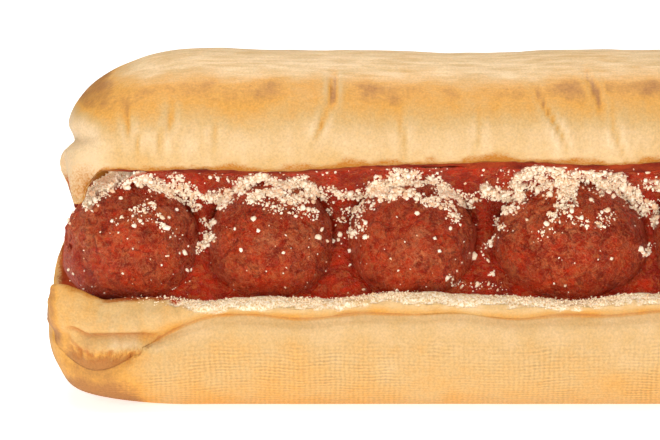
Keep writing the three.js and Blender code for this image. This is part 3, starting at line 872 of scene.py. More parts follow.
# Where the cheese lies in the picture: half width, thickness from 0 to 1, and the line, in
# millimetres across and up
CHEESE_STROKES = (
    (1.5, 1.0, ((-137.6, 3.6), (-136.3, 6.0), (-134.3, 8.0))),
    (2.2, 1.0, ((-134.3, 8.0), (-132.3, 9.8), (-130.6, 10.8), (-127.8, 11.8), (-125.7, 12.0))),
    (1.6, 0.9, ((-125.7, 12.0), (-124.0, 11.0), (-122.3, 9.3))),
    (2.0, 0.75, ((-122.3, 9.3), (-119.8, 8.5), (-118, 8.5), (-115.8, 9.3), (-113.8, 8.3), (-111.8, 6.5))),
    (1.6, 0.4, ((-117.3, 6.3), (-113.8, 5.3), (-111.0, 3.5))),
    (1.2, 0.45, ((-126.5, 2.0), (-124.3, 2.8), (-122.5, 3.0))),
    (1.6, 0.12, ((-131.1, 0.0), (-124.8, 0.0), (-119.8, -0.5), (-115.8, -3.0))),
    (1.0, 0.6, ((-119.3, -1.5), (-118.8, -2.5))),
    (1.5, 1.0, ((-109.0, 5.8), (-106.3, 6.0), (-103.3, 7.0), (-100.7, 8.0))),
    (1.3, 0.55, ((-104.3, 3.5), (-102.3, 5.0))),
    (1.2, 0.6, ((-109.8, 0.0), (-108.3, -1.0), (-106.8, -0.8))),
    (1.3, 1.0, ((-111.0, -7.5), (-109.5, -6.5), (-108.0, -5.0), (-107.0, -4.5))),
    (1.9, 1.0, ((-100.7, 8.0), (-98.2, 9.8), (-96.2, 10.8), (-94.0, 11.0))),
    (1.6, 0.9, ((-94.0, 11.0), (-92.2, 10.0), (-90.7, 9.0))),
    (1.8, 1.0, ((-90.7, 8.5), (-88.2, 8.5), (-86.2, 9.8), (-84.5, 10.0), (-83.0, 8.5))),
    (1.2, 0.7, ((-83.0, 8.5), (-80.2, 6.8), (-78.5, 4.8), (-77.7, 2.5))),
    (1.3, 0.9, ((-97.2, 4.5), (-95.2, 5.5), (-92.7, 6.5), (-90.7, 6.5))),
    (1.4, 0.95, ((-89.7, 5.0), (-87.7, 3.8), (-85.2, 4.8), (-83.0, 5.8))),
    (1.5, 0.3, ((-94.2, 3.5), (-89.7, 2.5), (-85.7, 2.0), (-81.7, 1.5))),
    (1.3, 0.9, ((-76.9, 7.5), (-74.4, 6.8), (-72.4, 6.0), (-70.4, 7.0))),
    (1.7, 0.3, ((-75.7, -0.5), (-72.7, 1.5), (-69.7, 2.5), (-66.7, 3.5))),
    (1.6, 0.22, ((-74.7, -5.0), (-72.2, -3.0), (-69.2, -1.0))),
    (2.6, 1.0, ((-66.2, 7.5), (-63.4, 9.0), (-60.7, 10.5), (-58.4, 11.5))),
    (1.6, 0.95, ((-64.7, 5.5), (-62.2, 5.8), (-60.7, 7.5))),
    (1.5, 0.8, ((-58.4, 12.0), (-56.2, 11.5), (-55.4, 9.0))),
    (1.6, 0.8, ((-52.7, 10.0), (-50.6, 9.5), (-49.6, 8.0))),
    (1.4, 0.7, ((-57.7, 6.0), (-55.2, 5.5), (-53.2, 4.5), (-51.1, 4.3))),
    (1.9, 0.65, ((-49.6, 7.5), (-46.6, 6.5), (-44.1, 5.8), (-42.1, 5.3))),
    (1.7, 0.5, ((-48.6, 4.0), (-47.1, 2.0), (-47.1, 0.5))),
    (1.3, 0.55, ((-44.6, 4.0), (-42.6, 3.5))),
    (1.7, 1.0, ((-38.6, 7.5), (-36.6, 6.8), (-34.1, 6.5), (-31.6, 5.8), (-29.6, 6.0))),
    (1.2, 0.8, ((-33.4, 2.0), (-31.6, 2.5))),
    (1.2, 0.4, ((-36.1, -0.5), (-34.1, -2.0))),
    (1.0, 0.7, ((-39.6, -6.5), (-38.1, -6.0), (-37.1, -5.0))),
    (1.0, 0.5, ((-39.1, -8.5), (-38.1, -10.0))),
    (2.3, 1.0, ((-30.4, 9.5), (-28.1, 11.3), (-25.6, 12.5), (-22.6, 13.0))),
    (1.9, 1.0, ((-22.6, 13.0), (-20.1, 12.0), (-19.1, 9.5), (-18.1, 7.0))),
    (2.4, 1.0, ((-18.1, 7.5), (-17.6, 5.0), (-18.8, 3.3))),
    (1.6, 0.9, ((-18.8, 3.3), (-20.6, 1.8), (-22.1, 1.0))),
    (1.8, 0.55, ((-27.6, 8.0), (-25.1, 9.0), (-22.6, 8.5))),
    (1.8, 0.8, ((-16.6, 12.0), (-13.6, 11.8), (-11.6, 11.5))),
    (2.4, 1.0, ((-11.6, 12.0), (-9.1, 10.5), (-8.6, 8.5))),
    (2.6, 1.0, ((-8.1, 11.5), (-5.6, 10.0), (-4.1, 8.0), (-2.0, 6.5))),
    (2.0, 0.9, ((-2.0, 6.5), (-0.0, 5.0), (1.2, 2.8))),
    (1.0, 0.9, ((-10.8, -1.8), (-9.6, -1.3), (-8.6, -1.0))),
    (1.0, 0.5, ((-15.1, -1.5), (-13.3, -1.8))),
    (1.5, 0.2, ((-24.6, -4.0), (-19.6, -1.5), (-14.6, 0.0), (-7.1, 1.0))),
    (1.5, 0.9, ((2.0, 9.8), (4.0, 9.0), (6.0, 9.0))),
    (1.3, 0.9, ((3.2, 4.0), (3.7, 1.5), (4.0, -1.0))),
    (1.2, 0.5, ((0.5, -8.5), (2.0, -7.5), (3.0, -6.5))),
    (1.4, 0.25, ((-48.4, -14.5), (-46.6, -16.0), (-42.1, -16.8), (-37.1, -16.3), (-34.6, -16.8))),
    (1.0, 0.6, ((-37.1, -13.0), (-36.9, -14.3))),
)

# Larger lumps of cheese: across, up and radius
CHEESE_LUMPS = (
    (-119.0, -2.0, 1.0),
    (-114.3, -8.0, 0.7),
    (-112.5, -12.5, 0.7),
    (-81.0, -4.3, 0.9),
    (-95.7, -2.8, 0.5),
    (-101.5, -2.3, 0.45),
    (-125.5, -0.3, 0.5),
    (-118.0, 0.8, 0.45),
    (-41.4, -9.3, 1.1),
    (-22.3, 6.3, 0.9),
    (-55.9, 1.5, 0.6),
    (-50.1, 3.0, 0.7),
    (-8.1, 2.3, 0.7),
    (3.5, 3.5, 0.9),
    (-37.1, -13.5, 0.7),
    (-68.2, -4.0, 0.4),
    (-48.4, -14.5, 0.6),
    (-143.1, -12.3, 0.5),
    (-142.1, -13.3, 0.4),
)

# Starting numbers of the random draws
CHEESE_SEED = 11
CRUMB_SEED = 5

# Torn crumbs: how many are drawn, their typical radius, and how far along X they lie
CRUMB_COUNT = 11000
CRUMB_SIZE = 0.17
CRUMB_REACH = 133

# The two shapes of a grain, each as corners and triangles: an icosahedron and an octahedron
PHI = (1 + 5**0.5) / 2
GRAIN_CORNERS = np.array(
    [
        (-1, PHI, 0), (1, PHI, 0), (-1, -PHI, 0), (1, -PHI, 0),
        (0, -1, PHI), (0, 1, PHI), (0, -1, -PHI), (0, 1, -PHI),
        (PHI, 0, -1), (PHI, 0, 1), (-PHI, 0, -1), (-PHI, 0, 1),
    ]
) / math.hypot(1, PHI)
GRAIN_FACES = np.array(
    [
        (0, 11, 5), (0, 5, 1), (0, 1, 7), (0, 7, 10), (0, 10, 11),
        (1, 5, 9), (5, 11, 4), (11, 10, 2), (10, 7, 6), (7, 1, 8),
        (3, 9, 4), (3, 4, 2), (3, 2, 6), (3, 6, 8), (3, 8, 9),
        (4, 9, 5), (2, 4, 11), (6, 2, 10), (8, 6, 7), (9, 8, 1),
    ]
)
GRAIN = (GRAIN_CORNERS, GRAIN_FACES)
CHIP = (
    np.array([(1, 0, 0), (-1, 0, 0), (0, 1, 0), (0, -1, 0), (0, 0, 1), (0, 0, -1)], dtype=float),
    np.array([(0, 2, 4), (2, 1, 4), (1, 3, 4), (3, 0, 4), (2, 0, 5), (1, 2, 5), (3, 1, 5), (0, 3, 5)]),
)


def turned(count, rng):
    """Random turns as rotation matrices, from random unit quaternions."""
    q = rng.normal(size=(count, 4))
    w, x, y, z = (q / np.linalg.norm(q, axis=1, keepdims=True)).T
    return np.stack(
        [
            np.stack([1 - 2 * (y * y + z * z), 2 * (x * y - w * z), 2 * (x * z + w * y)], -1),
            np.stack([2 * (x * y + w * z), 1 - 2 * (x * x + z * z), 2 * (y * z - w * x)], -1),
            np.stack([2 * (x * z - w * y), 2 * (y * z + w * x), 1 - 2 * (x * x + y * y)], -1),
        ],
        axis=1,
    )


def grain_sizes(rng, typical, count, most):
    """Sizes spread round a typical one, from half of it to so many times it at most."""
    return typical * np.exp(rng.normal(0, 0.4, size=count)).clip(0.5, most)


def make_grains(name, places, sizes, shape, rng):
    """Joined grains: each is the shape, roughened, stretched, turned, scaled and put in its place."""
    corners, faces = shape
    count = len(places)
    shapes = corners[None] * (1 + 0.22 * rng.normal(size=(count, len(corners), 1)).clip(-1.5, 1.5))
    shapes = shapes * rng.uniform(0.65, 1.25, size=(count, 1, 3))
    shapes = np.einsum("nij,nkj->nki", turned(count, rng), shapes)
    grains = places[:, None] + sizes[:, None, None] * shapes
    numbers = faces[None] + len(corners) * np.arange(count)[:, None, None]
    tone = np.repeat(rng.uniform(size=count), len(corners))
    return build(name, grains.reshape(-1, 3), [numbers.reshape(-1, 3)], {"tone": tone})


def picture_place(places):
    """Where places show in the picture: millimetres across and up from the target, at its distance."""
    tilt = math.radians(VIEW_ELEVATION)
    x, y, z = np.moveaxis(places - np.array(VIEW_TARGET), -1, 0)
    nearness = VIEW_DISTANCE / (VIEW_DISTANCE + y * math.cos(tilt) - z * math.sin(tilt))
    return VIEW_TARGET[0] + x * nearness, (z * math.cos(tilt) + y * math.sin(tilt)) * nearness


def to_stroke(across, up, line):
    """The distance from places in the picture to the nearest point of a line of straight parts."""
    nearest = np.full(across.shape, np.inf)
    for (x0, y0), (x1, y1) in zip(line[:-1], line[1:]):
        dx, dy = x1 - x0, y1 - y0
        share = np.clip(((across - x0) * dx + (up - y0) * dy) / (dx * dx + dy * dy), 0, 1)
        nearest = np.minimum(nearest, np.hypot(across - x0 - share * dx, up - y0 - share * dy))
    return nearest


def cheese_weight(places, normals):
    """How thickly the cheese lies, from 0 to 1: along strokes with frayed edges, and thin elsewhere.

    The strokes of the half of the row that shows are used again, shifted, on the other half."""
    across, up = picture_place(places)
    shift = CENTRES[4] - CENTRES[0]
    fray = 1 + 0.75 * cloud(places, 2.6, 3, 300)
    gaps = ramp((cloud(places, 1.5, 2, 301) + 0.55) / 0.35)
    total = np.zeros(across.shape)
    for half in (0, 1):
        for radius, strength, line in CHEESE_STROKES:
            distance = to_stroke(across - half * shift, up, line)
            total = np.maximum(total, strength * ramp((radius * fray - distance) / 0.7 + 0.1))
    height = ramp((up - 1 + 4 * cloud(places, 6, 2, 302)) / 9)
    thin = 0.005 + 0.05 * height * ramp((cloud(places, 4, 2, 303) + 0.1) / 0.4)
    facing = ramp((0.35 - normals[..., 1] + 0.4 * normals[..., 2]) / 0.5)
    return np.clip(total * gaps + thin, 0, 1) * facing * ramp((-3 - places[..., 1]) / 3)


def dust_of(weight, places):
    """Where the cheese lies so thick that nothing shows through, from 0 to 1, with a grainy border."""
    return ramp((weight + 0.6 * cloud(places, 1.6, 3, 305) - 0.88) / 0.15)


def outside_balls(places, margin):
    """True where places lie outside every meatball by the margin."""
    free = np.ones(len(places), dtype=bool)
    for k in range(len(BALL_WIDTHS)):
        halves = np.array([BALL_WIDTHS[k] / 2, BALL_DEPTH / 2, BALL_HEIGHTS[k] / 2]) * 0.97 + margin
        free &= np.sum(((places - (CENTRES[k], *BALL_CENTRE)) / halves) ** 2, axis=1) > 1
    return free


def lumps_of_cheese(places, normals):
    """The place on the filling that shows nearest to each lump in the picture, on both halves."""
    across, up = picture_place(places)
    toward = normals[:, 1] < 0
    spots = []
    for half in (0, CENTRES[4] - CENTRES[0]):
        for x, height, radius in CHEESE_LUMPS:
            distance = np.hypot(across - x - half, up - height) + 100 * ~toward + 0.02 * places[:, 1]
            spots.append((np.argmin(distance), radius))
    chosen = [spot for spot, _ in spots]
    return places[chosen], normals[chosen], np.array([radius for _, radius in spots])


def scatter(rng, places, normals, weights, count, spread):
    """Picks count places at random by weight, each moved a little along the surface."""
    chosen = rng.choice(len(places), size=count, p=weights / weights.sum(), replace=True)
    shift = rng.normal(size=(count, 3)) * spread
    normal = normals[chosen]
    shift = shift - normal * np.sum(shift * normal, axis=1, keepdims=True)
    return places[chosen] + shift, normal, weights[chosen]


# Materials

# Types of a node group's sockets
COLOUR = "NodeSocketColor"
NUMBER = "NodeSocketFloat"


def linear(red, green, blue):
    """A colour as 0 to 255 screen values, turned into the linear values that shaders take."""
    screen = np.array([red, green, blue]) / 255
    return tuple(np.where(screen <= 0.04045, screen / 12.92, ((screen + 0.055) / 1.055) ** 2.4)) + (1.0,)


# Colours of the bread that are no settings; where a colour is a ramp, each stop has its position
# The darkest crust tops the bake ramp; the heel's lower ends reach towards it, partly as painted shade
DARKEST_CRUST = linear(172, 118, 64)
# Painted shade: the darker colours in the heel's crease and in the pleats of the pouch
CREASE_SHADE = linear(176, 104, 40)
PLEAT_SHADE = linear(176, 110, 48)
STAINED_CRUST = linear(182, 116, 36)
DEEP_SOAK = linear(122, 26, 8)
PALE_SOAK = linear(176, 66, 24)
OPEN_CRUMB = ((0.35, linear(212, 172, 118)), (0.5, linear(238, 214, 176)), (0.65, linear(250, 238, 214)))
LOOSE_CRUMB = ((0.0, linear(226, 180, 124)), (0.35, linear(254, 234, 202)))

# Colours of the filling that are no settings
# Painted highlight: thin pale curls over the sauce
CURL_HIGHLIGHT = linear(238, 158, 110)
# Painted shade in the hollows between and behind the meatballs
HOLLOW_SHADE = linear(128, 30, 14)
# Painted rim light: colours that lighten the sauce and the meat towards their outlines
SAUCE_RIM_LIGHT = linear(210, 60, 30)
MEAT_RIM_LIGHT = linear(226, 84, 44)
# Painted highlight along the edges of the sauce film on the meat
FILM_EDGE_HIGHLIGHT = linear(214, 130, 88)
BRIGHT_CLUMP = linear(226, 100, 50)
DARK_CLUMP = linear(122, 22, 8)
PALE_FLECK = linear(240, 142, 92)
DARK_FLECK = linear(112, 24, 8)
# Painted light for the meatballs' lower parts, which lie in shade
LOW_MEAT_PAINTED_LIGHT = linear(236, 76, 30)

# Colours of the cheese that are no settings
THICK_CHEESE = ((0.35, linear(206, 160, 116)), (0.55, linear(238, 220, 190)))
PALE_CHEESE = linear(250, 240, 220)
# Colour of the painted glow on the cheese and the crumbs
PAINTED_WARM_GLOW = linear(255, 228, 192)
NO_GLOW = linear(0, 0, 0)

# Millimetres between the wires of the mould's mesh, along the roll and up it
WIRE_PITCHES = (1.25, 1.1)


def wire(tree, made, inputs):
    """Sets or links each of a node's inputs that are named."""
    for key, value in inputs.items():
        if isinstance(value, bpy.types.NodeSocket):
            tree.links.new(value, made.inputs[key])
        else:
            made.inputs[key].default_value = value


def node(tree, kind, inputs=None, **settings):
    """Adds a node with its settings and inputs."""
    made = tree.nodes.new(kind)
    for key, value in settings.items():
        setattr(made, key, value)
    wire(tree, made, inputs or {})
    return made


def attribute(tree, name):
    """One of the mesh's own values."""
    return node(tree, "ShaderNodeAttribute", attribute_name=name).outputs["Fac"]


def object_place(tree):
    """Each point's place in the object's own coordinates, in metres."""
    return node(tree, "ShaderNodeTexCoord").outputs["Object"]


def math_of(tree, operation, a, b=0.0, clamp=False):
    """a and b joined by a Math node."""
    return node(tree, "ShaderNodeMath", {0: a, 1: b}, operation=operation, use_clamp=clamp).outputs[0]


def times(tree, a, b, clamp=False):
    """a times b."""
    return math_of(tree, "MULTIPLY", a, b, clamp)


def plus(tree, a, b, clamp=False):
    """a plus b."""
    return math_of(tree, "ADD", a, b, clamp)


def weighted(tree, first, *others):
    """The sum of values, each given with its weight."""
    total = times(tree, *first)
    for pair in others:
        total = plus(tree, total, times(tree, *pair))
    return total


def from_half(tree, value):
    """How far a value lies from a half."""
    return math_of(tree, "ABSOLUTE", math_of(tree, "SUBTRACT", value, 0.5))


def blend_colours(tree, share, a, b):
    """Colour a at share 0 and colour b at share 1."""
    return node(tree, "ShaderNodeMix", {0: share, 6: a, 7: b}, data_type="RGBA").outputs[2]


def steps_of(tree, value, stops):
    """A colour ramp through (position, colour) stops."""
    made = node(tree, "ShaderNodeValToRGB", {"Fac": value})
    band = made.color_ramp
    while len(band.elements) < len(stops):
        band.elements.new(0.5)
    for element, (position, colour) in zip(band.elements, stops):
        element.position = position
        element.color = colour
    return made.outputs["Color"]


def span_of(tree, value, low, high, start=0.0, end=1.0):
    """value from low to high as start to end, held at both ends."""
    inputs = {"Value": value, "From Min": low, "From Max": high, "To Min": start, "To Max": end}
    return node(tree, "ShaderNodeMapRange", inputs, clamp=True).outputs["Result"]


def layered(tree, colour, layers):
    """A colour under others, each given as a value, its span and the share that the span leads to."""
    for value, low, high, most, over in layers:
        colour = blend_colours(tree, span_of(tree, value, low, high, 0.0, most), colour, over)
    return colour


def noise_of(tree, vector, scale, detail=3.0, roughness=0.55, stretch=None, twist=0.0):
    """A noise value over a vector, which may be stretched first, and whose swirls grow with twist."""
    if stretch:
        vector = node(tree, "ShaderNodeMapping", {"Vector": vector, "Scale": stretch}).outputs["Vector"]
    inputs = {"Vector": vector, "Scale": scale, "Detail": detail, "Roughness": roughness}
    return node(tree, "ShaderNodeTexNoise", {**inputs, "Distortion": twist}).outputs["Fac"]


def bumped(tree, height, strength, distance):
    """The normal of a surface with a height on it."""
    inputs = {"Height": height, "Strength": strength, "Distance": distance}
    return node(tree, "ShaderNodeBump", inputs).outputs["Normal"]


def new_group(name, inputs, outputs):
    """An empty node group, with the types of its sockets by name, and its two end nodes."""
    tree = bpy.data.node_groups.new(name, "ShaderNodeTree")
    for way, sockets in (("INPUT", inputs), ("OUTPUT", outputs)):
        for label, kind in sockets.items():
            tree.interface.new_socket(name=label, in_out=way, socket_type=kind)
    return tree, node(tree, "NodeGroupInput").outputs, node(tree, "NodeGroupOutput")


def scaled_place(tree, scale):
    """Each point's place in the object's own coordinates, times a scale."""
    inputs = {0: object_place(tree), "Scale": scale}
    return node(tree, "ShaderNodeVectorMath", inputs, operation="SCALE").outputs[0]


def pulp_group():
    """Tomato sauce: clear red and oily orange in soft patches, thin curls of painted highlight, with pulp
    as fine bumps.
    """
    tree, start, end = new_group(
        "Tomato pulp",
        {"Deep": COLOUR, "Bright": COLOUR, "Oil": COLOUR, "Scale": NUMBER},
        {"Color": COLOUR, "Roughness": NUMBER, "Height": NUMBER},
    )
    place = scaled_place(tree, start["Scale"])
    broad = noise_of(tree, place, 170, 4, 0.6, twist=0.6)
    patch = noise_of(tree, place, 420, 4, 0.65, twist=1.0)
    grain = noise_of(tree, place, 1500, 3, 0.65)
    # The curls are thin lines of painted highlight
    curl = from_half(tree, noise_of(tree, place, 620, 2, 0.5, twist=3.0))
    ridge = times(tree, span_of(tree, curl, 0.0, 0.03, 1, 0), span_of(tree, patch, 0.42, 0.56, 0, 0.85))
    red = blend_colours(tree, span_of(tree, broad, 0.4, 0.6), start["Deep"], start["Bright"])
    oily = ((patch, 0.5, 0.68, 0.8, start["Oil"]), (grain, 0.58, 0.72, 0.55, start["Oil"]))
    flecked = layered(tree, red, oily)
    dark = blend_colours(tree, span_of(tree, grain, 0.3, 0.46, 0.6, 0), flecked, start["Deep"])
    outputs = {
        "Color": blend_colours(tree, ridge, dark, CURL_HIGHLIGHT),
        "Roughness": span_of(tree, patch, 0.35, 0.7, 0.13, 0.36),
        "Height": weighted(tree, (patch, 0.6), (grain, 0.4), (ridge, 0.15)),
    }
    wire(tree, end, outputs)
    return tree


def grain_group():
    """Baked dough: soft mottling, fine speckle and small wrinkles that run one way."""
    names = ("Mottle", "Speckle", "Wrinkle", "Pore")
    tree, start, end = new_group("Dough grain", {"Scale": NUMBER}, dict.fromkeys(names, NUMBER))
    place = scaled_place(tree, start["Scale"])
    outputs = {
        "Mottle": noise_of(tree, place, 90, 5, 0.6),
        "Speckle": noise_of(tree, place, 900, 3, 0.65),
        "Wrinkle": noise_of(tree, place, 380, 4, 0.6, stretch=(0.28, 1.2, 1.2)),
        "Pore": noise_of(tree, place, 1900, 2, 0.6),
    }
    wire(tree, end, outputs)
    return tree


def group_of(tree, name, maker, inputs):
    """The outputs of a node group, which is made when it is first asked for."""
    group = bpy.data.node_groups.get(name) or maker()
    return node(tree, "ShaderNodeGroup", {**inputs, "Scale": 1.0}, node_tree=group).outputs


def pulp_of(tree, settings):
    """The outputs of the pulp group with the colours of the settings."""
    colours = {"Deep": settings.deep_sauce, "Bright": settings.bright_sauce, "Oil": settings.oily_sauce}
    return group_of(tree, "Tomato pulp", pulp_group, colours)


def new_material(name):
    """A material with only its output and a Principled shader."""
    material = bpy.data.materials.new(name)
    material.use_nodes = True
    tree = material.node_tree
    return material, tree, tree.nodes["Principled BSDF"]


def imprint_of(tree, place, mottle):
    """The print of the mould's mesh, about -2 to 2: two wavy combs that cross and fade in patches."""
    uv = node(tree, "ShaderNodeUVMap", uv_map="surface").outputs["UV"]
    axes = node(tree, "ShaderNodeSeparateXYZ", {0: uv}).outputs
    wobble = times(tree, math_of(tree, "SUBTRACT", mottle, 0.5), 2.4)
    combs = []
    for axis, pitch in zip(axes, WIRE_PITCHES):
        turn = times(tree, plus(tree, axis, wobble), 2 * math.pi / pitch)
        combs.append(math_of(tree, "SINE", turn))
    dashes = span_of(tree, noise_of(tree, place, 420, 2, stretch=(0.5, 1, 1)), 0.35, 0.65, 0.2, 1.6)
    woven = plus(tree, times(tree, combs[0], 0.6), times(tree, combs[1], dashes))
    patchy = span_of(tree, noise_of(tree, place, 60, 3), 0.35, 0.6, 0.35, 1.0)
    return times(tree, times(tree, woven, attribute(tree, "imprint")), patchy)


def crust_colour(tree, settings, grain, pleats, imprint):
    """The crust by how much it baked, with a painted pale sheen on top, painted shade in folds, and shaded
    by print and pores.
    """
    mottled = plus(tree, attribute(tree, "bake"), span_of(tree, grain["Mottle"], 0.3, 0.7, -0.12, 0.12))
    speckled = plus(tree, mottled, span_of(tree, grain["Speckle"], 0.3, 0.7, -0.05, 0.05))
    stops = (
        (0.0, settings.pale_crust),
        (0.42, settings.golden_crust),
        (0.8, settings.brown_crust),
        (1.0, DARKEST_CRUST),
    )
    crust = steps_of(tree, speckled, stops)
    painted_sheen = times(tree, attribute(tree, "sheen"), span_of(tree, grain["Wrinkle"], 0.35, 0.65, 0.2, 1.0))
    crease = attribute(tree, "crease")
    # Painted sheen on the crown's top, and painted shade in the crease and in the pleats
    painted_layers = ((painted_sheen, 0.6, settings.sheen), (crease, 0.85, CREASE_SHADE), (pleats, 0.8, PLEAT_SHADE))
    for value, share, over in painted_layers:
        crust = blend_colours(tree, times(tree, value, share), crust, over)
    shade = span_of(tree, imprint, -2.0, 2.0, 0.78, 1.22)
    shade = plus(tree, shade, span_of(tree, grain["Pore"], 0.3, 0.7, -0.11, 0.11))
    tint = node(tree, "ShaderNodeCombineXYZ", {0: shade, 1: shade, 2: shade}).outputs[0]
    return node(tree, "ShaderNodeVectorMath", {0: crust, 1: tint}, operation="MULTIPLY").outputs[0]


def bread_material(settings):
    """Crust, crumb and sauce stains by the roll's own values, with the mould's mesh pressed in below."""
    material, tree, shader = new_material("bread")
    grain = group_of(tree, "Dough grain", grain_group, {})
    place = object_place(tree)
    crumb = attribute(tree, "crumb")
    stain = attribute(tree, "stain")
    pleats = span_of(tree, noise_of(tree, place, 700, 3, 0.6, stretch=(1.0, 0.3, 0.35)), 0.45, 0.62)
    pleats = times(tree, pleats, attribute(tree, "pleat"))
    imprint = imprint_of(tree, place, grain["Mottle"])

    stained = plus(tree, stain, span_of(tree, grain["Pore"], 0.35, 0.65, -0.35, 0.35), clamp=True)
    stained = times(tree, stained, span_of(tree, stain, 0.0, 0.2))
    crust = crust_colour(tree, settings, grain, pleats, imprint)
    crust = blend_colours(tree, stained, crust, STAINED_CRUST)
    soak = blend_colours(tree, span_of(tree, grain["Mottle"], 0.4, 0.6), DEEP_SOAK, PALE_SOAK)
    dry = steps_of(tree, grain["Pore"], OPEN_CRUMB)
    inside = blend_colours(tree, times(tree, stained, 1.7, clamp=True), dry, soak)

    rough = span_of(tree, grain["Mottle"], 0.3, 0.7, 0.42, 0.58)
    fine = times(tree, grain["Speckle"], span_of(tree, crumb, 0, 1, 0.25, 2.2))
    wrinkles = math_of(tree, "SUBTRACT", times(tree, grain["Wrinkle"], 0.5), pleats)
    height = plus(tree, plus(tree, fine, wrinkles), times(tree, imprint, 0.13))
    inputs = {
        "Base Color": blend_colours(tree, crumb, crust, inside),
        "Roughness": plus(tree, rough, times(tree, crumb, 0.5), clamp=True),
        "Subsurface Weight": 0.12,
        "Subsurface Radius": (0.006, 0.003, 0.0015),
        "Subsurface Scale": 0.4,
        "Specular IOR Level": 0.22,
        "Normal": bumped(tree, height, 0.8, 0.0005),
    }
    wire(tree, shader, inputs)
    return material


def wet_look(tree, shader, colour, rough, rim, normal, inside):
    """What meat and sauce share: a dull rim lightened with painted light, painted shade in the hollows,
    and cheese where the mesh says so, with a painted glow.

    rim is the share and the colour of the painted rim light, and inside is how much of the light goes in."""
    facing = node(tree, "ShaderNodeLayerWeight", {"Blend": 0.5}).outputs["Facing"]
    dust = attribute(tree, "dust")
    # Painted rim light: lighter where the surface turns away towards its outline
    colour = layered(tree, colour, [(facing, 0.3, 0.85, *rim)])
    # Painted shade in the hollows, as much as the hollow value says
    colour = blend_colours(tree, attribute(tree, "hollow"), colour, HOLLOW_SHADE)
    cheese = steps_of(tree, noise_of(tree, object_place(tree), 1300, 2), THICK_CHEESE)
    rough = math_of(tree, "MAXIMUM", rough, times(tree, dust, 0.6))
    inputs = {
        "Base Color": blend_colours(tree, dust, colour, cheese),
        "Roughness": math_of(tree, "MAXIMUM", rough, span_of(tree, facing, 0.5, 0.9, 0.0, 0.85)),
        "Subsurface Weight": inside,
        "Subsurface Radius": (0.002, 0.0005, 0.0003),
        "Subsurface Scale": 0.3,
        "Specular IOR Level": 0.3,
        # Painted glow where cheese lies on the mesh
        "Emission Color": blend_colours(tree, dust, NO_GLOW, PAINTED_WARM_GLOW),
        "Emission Strength": PAINTED_GLOW,
        "Normal": normal,
    }
    wire(tree, shader, inputs)


def sauce_material(settings):
    """Tomato sauce where it lies thick."""
    material, tree, shader = new_material("sauce")
    pulp = pulp_of(tree, settings)
    normal = bumped(tree, pulp["Height"], 0.9, 0.002)
    wet_look(tree, shader, pulp["Color"], pulp["Roughness"], (0.2, SAUCE_RIM_LIGHT), normal, 0.12)
    return material


def meat_material(settings):
    """Minced meat, darker in its cracks as painted shade, under sauce where the mesh says so."""
    material, tree, shader = new_material("meatball")
    pulp = pulp_of(tree, settings)
    place = object_place(tree)
    mince = noise_of(tree, place, 520, 5, 0.68, twist=1.4)
    strand = noise_of(tree, place, 1150, 3, 0.6, twist=2.2)
    fleck = noise_of(tree, place, 800, 3, 0.6, twist=2.6)
    clump = noise_of(tree, place, 230, 3, 0.6, twist=1.8)
    film = attribute(tree, "sauce")

    # The crag value darkens the meat in its cracks as painted shade; the noise adds dark and pale mince
    depth = weighted(tree, (attribute(tree, "crag"), 0.3), (mince, 0.5), (strand, 0.25))
    stops = ((0.39, settings.deep_meat), (0.5, settings.meat), (0.61, settings.pale_meat))
    meat = steps_of(tree, depth, stops)
    bare = times(tree, math_of(tree, "SUBTRACT", 1.0, film), 0.75)
    bare = times(tree, plus(tree, bare, 0.25), span_of(tree, mince, 0.4, 0.6, 0.25, 1.0))
    # Painted highlight: a thin pale line along the edges of the sauce film
    edge = span_of(tree, from_half(tree, film), 0.1, 0.45, 1, 0)
    edge = times(tree, edge, span_of(tree, strand, 0.45, 0.6))
    colour = blend_colours(tree, bare, pulp["Color"], meat)
    colour = blend_colours(tree, times(tree, edge, 0.5), colour, FILM_EDGE_HIGHLIGHT)
    patches = (
        (clump, 0.53, 0.63, 0.4, BRIGHT_CLUMP),
        (clump, 0.45, 0.37, 0.6, DARK_CLUMP),
        (fleck, 0.57, 0.66, 0.5, PALE_FLECK),
        (fleck, 0.42, 0.34, 0.6, DARK_FLECK),
    )
    colour = layered(tree, colour, patches)
    # Painted light: the meatball's lower part lightened towards bright red
    colour = blend_colours(tree, times(tree, attribute(tree, "low"), 0.5), colour, LOW_MEAT_PAINTED_LIGHT)
    rough = plus(tree, pulp["Roughness"], times(tree, bare, 0.1))
    height = weighted(tree, (mince, 0.7), (strand, 0.35), (pulp["Height"], 0.4))
    wet_look(tree, shader, colour, rough, (0.4, MEAT_RIM_LIGHT), bumped(tree, height, 1.0, 0.0024), 0.1)
    return material


def crumb_material():
    """Loose dry crumb, a little browner here and there, with a weak painted glow."""
    material, tree, shader = new_material("crumb")
    inputs = {
        "Base Color": steps_of(tree, attribute(tree, "tone"), LOOSE_CRUMB),
        "Roughness": 0.85,
        "Emission Color": PAINTED_WARM_GLOW,
        "Emission Strength": 0.5 * PAINTED_GLOW,
    }
    wire(tree, shader, inputs)
    return material


def cheese_material(settings):
    """Dry grated cheese, each grain a little different, with a painted glow."""
    material, tree, shader = new_material("cheese")
    stops = ((0.0, settings.dark_cheese), (0.35, settings.cheese), (1.0, PALE_CHEESE))
    speck = noise_of(tree, object_place(tree), 2200, 2)
    inputs = {
        "Base Color": steps_of(tree, attribute(tree, "tone"), stops),
        "Roughness": span_of(tree, speck, 0.3, 0.7, 0.45, 0.7),
        "Emission Color": PAINTED_WARM_GLOW,
        "Emission Strength": PAINTED_GLOW,
        "Normal": bumped(tree, speck, 0.4, 0.0002),
    }
    wire(tree, shader, inputs)
    return material


# Settings


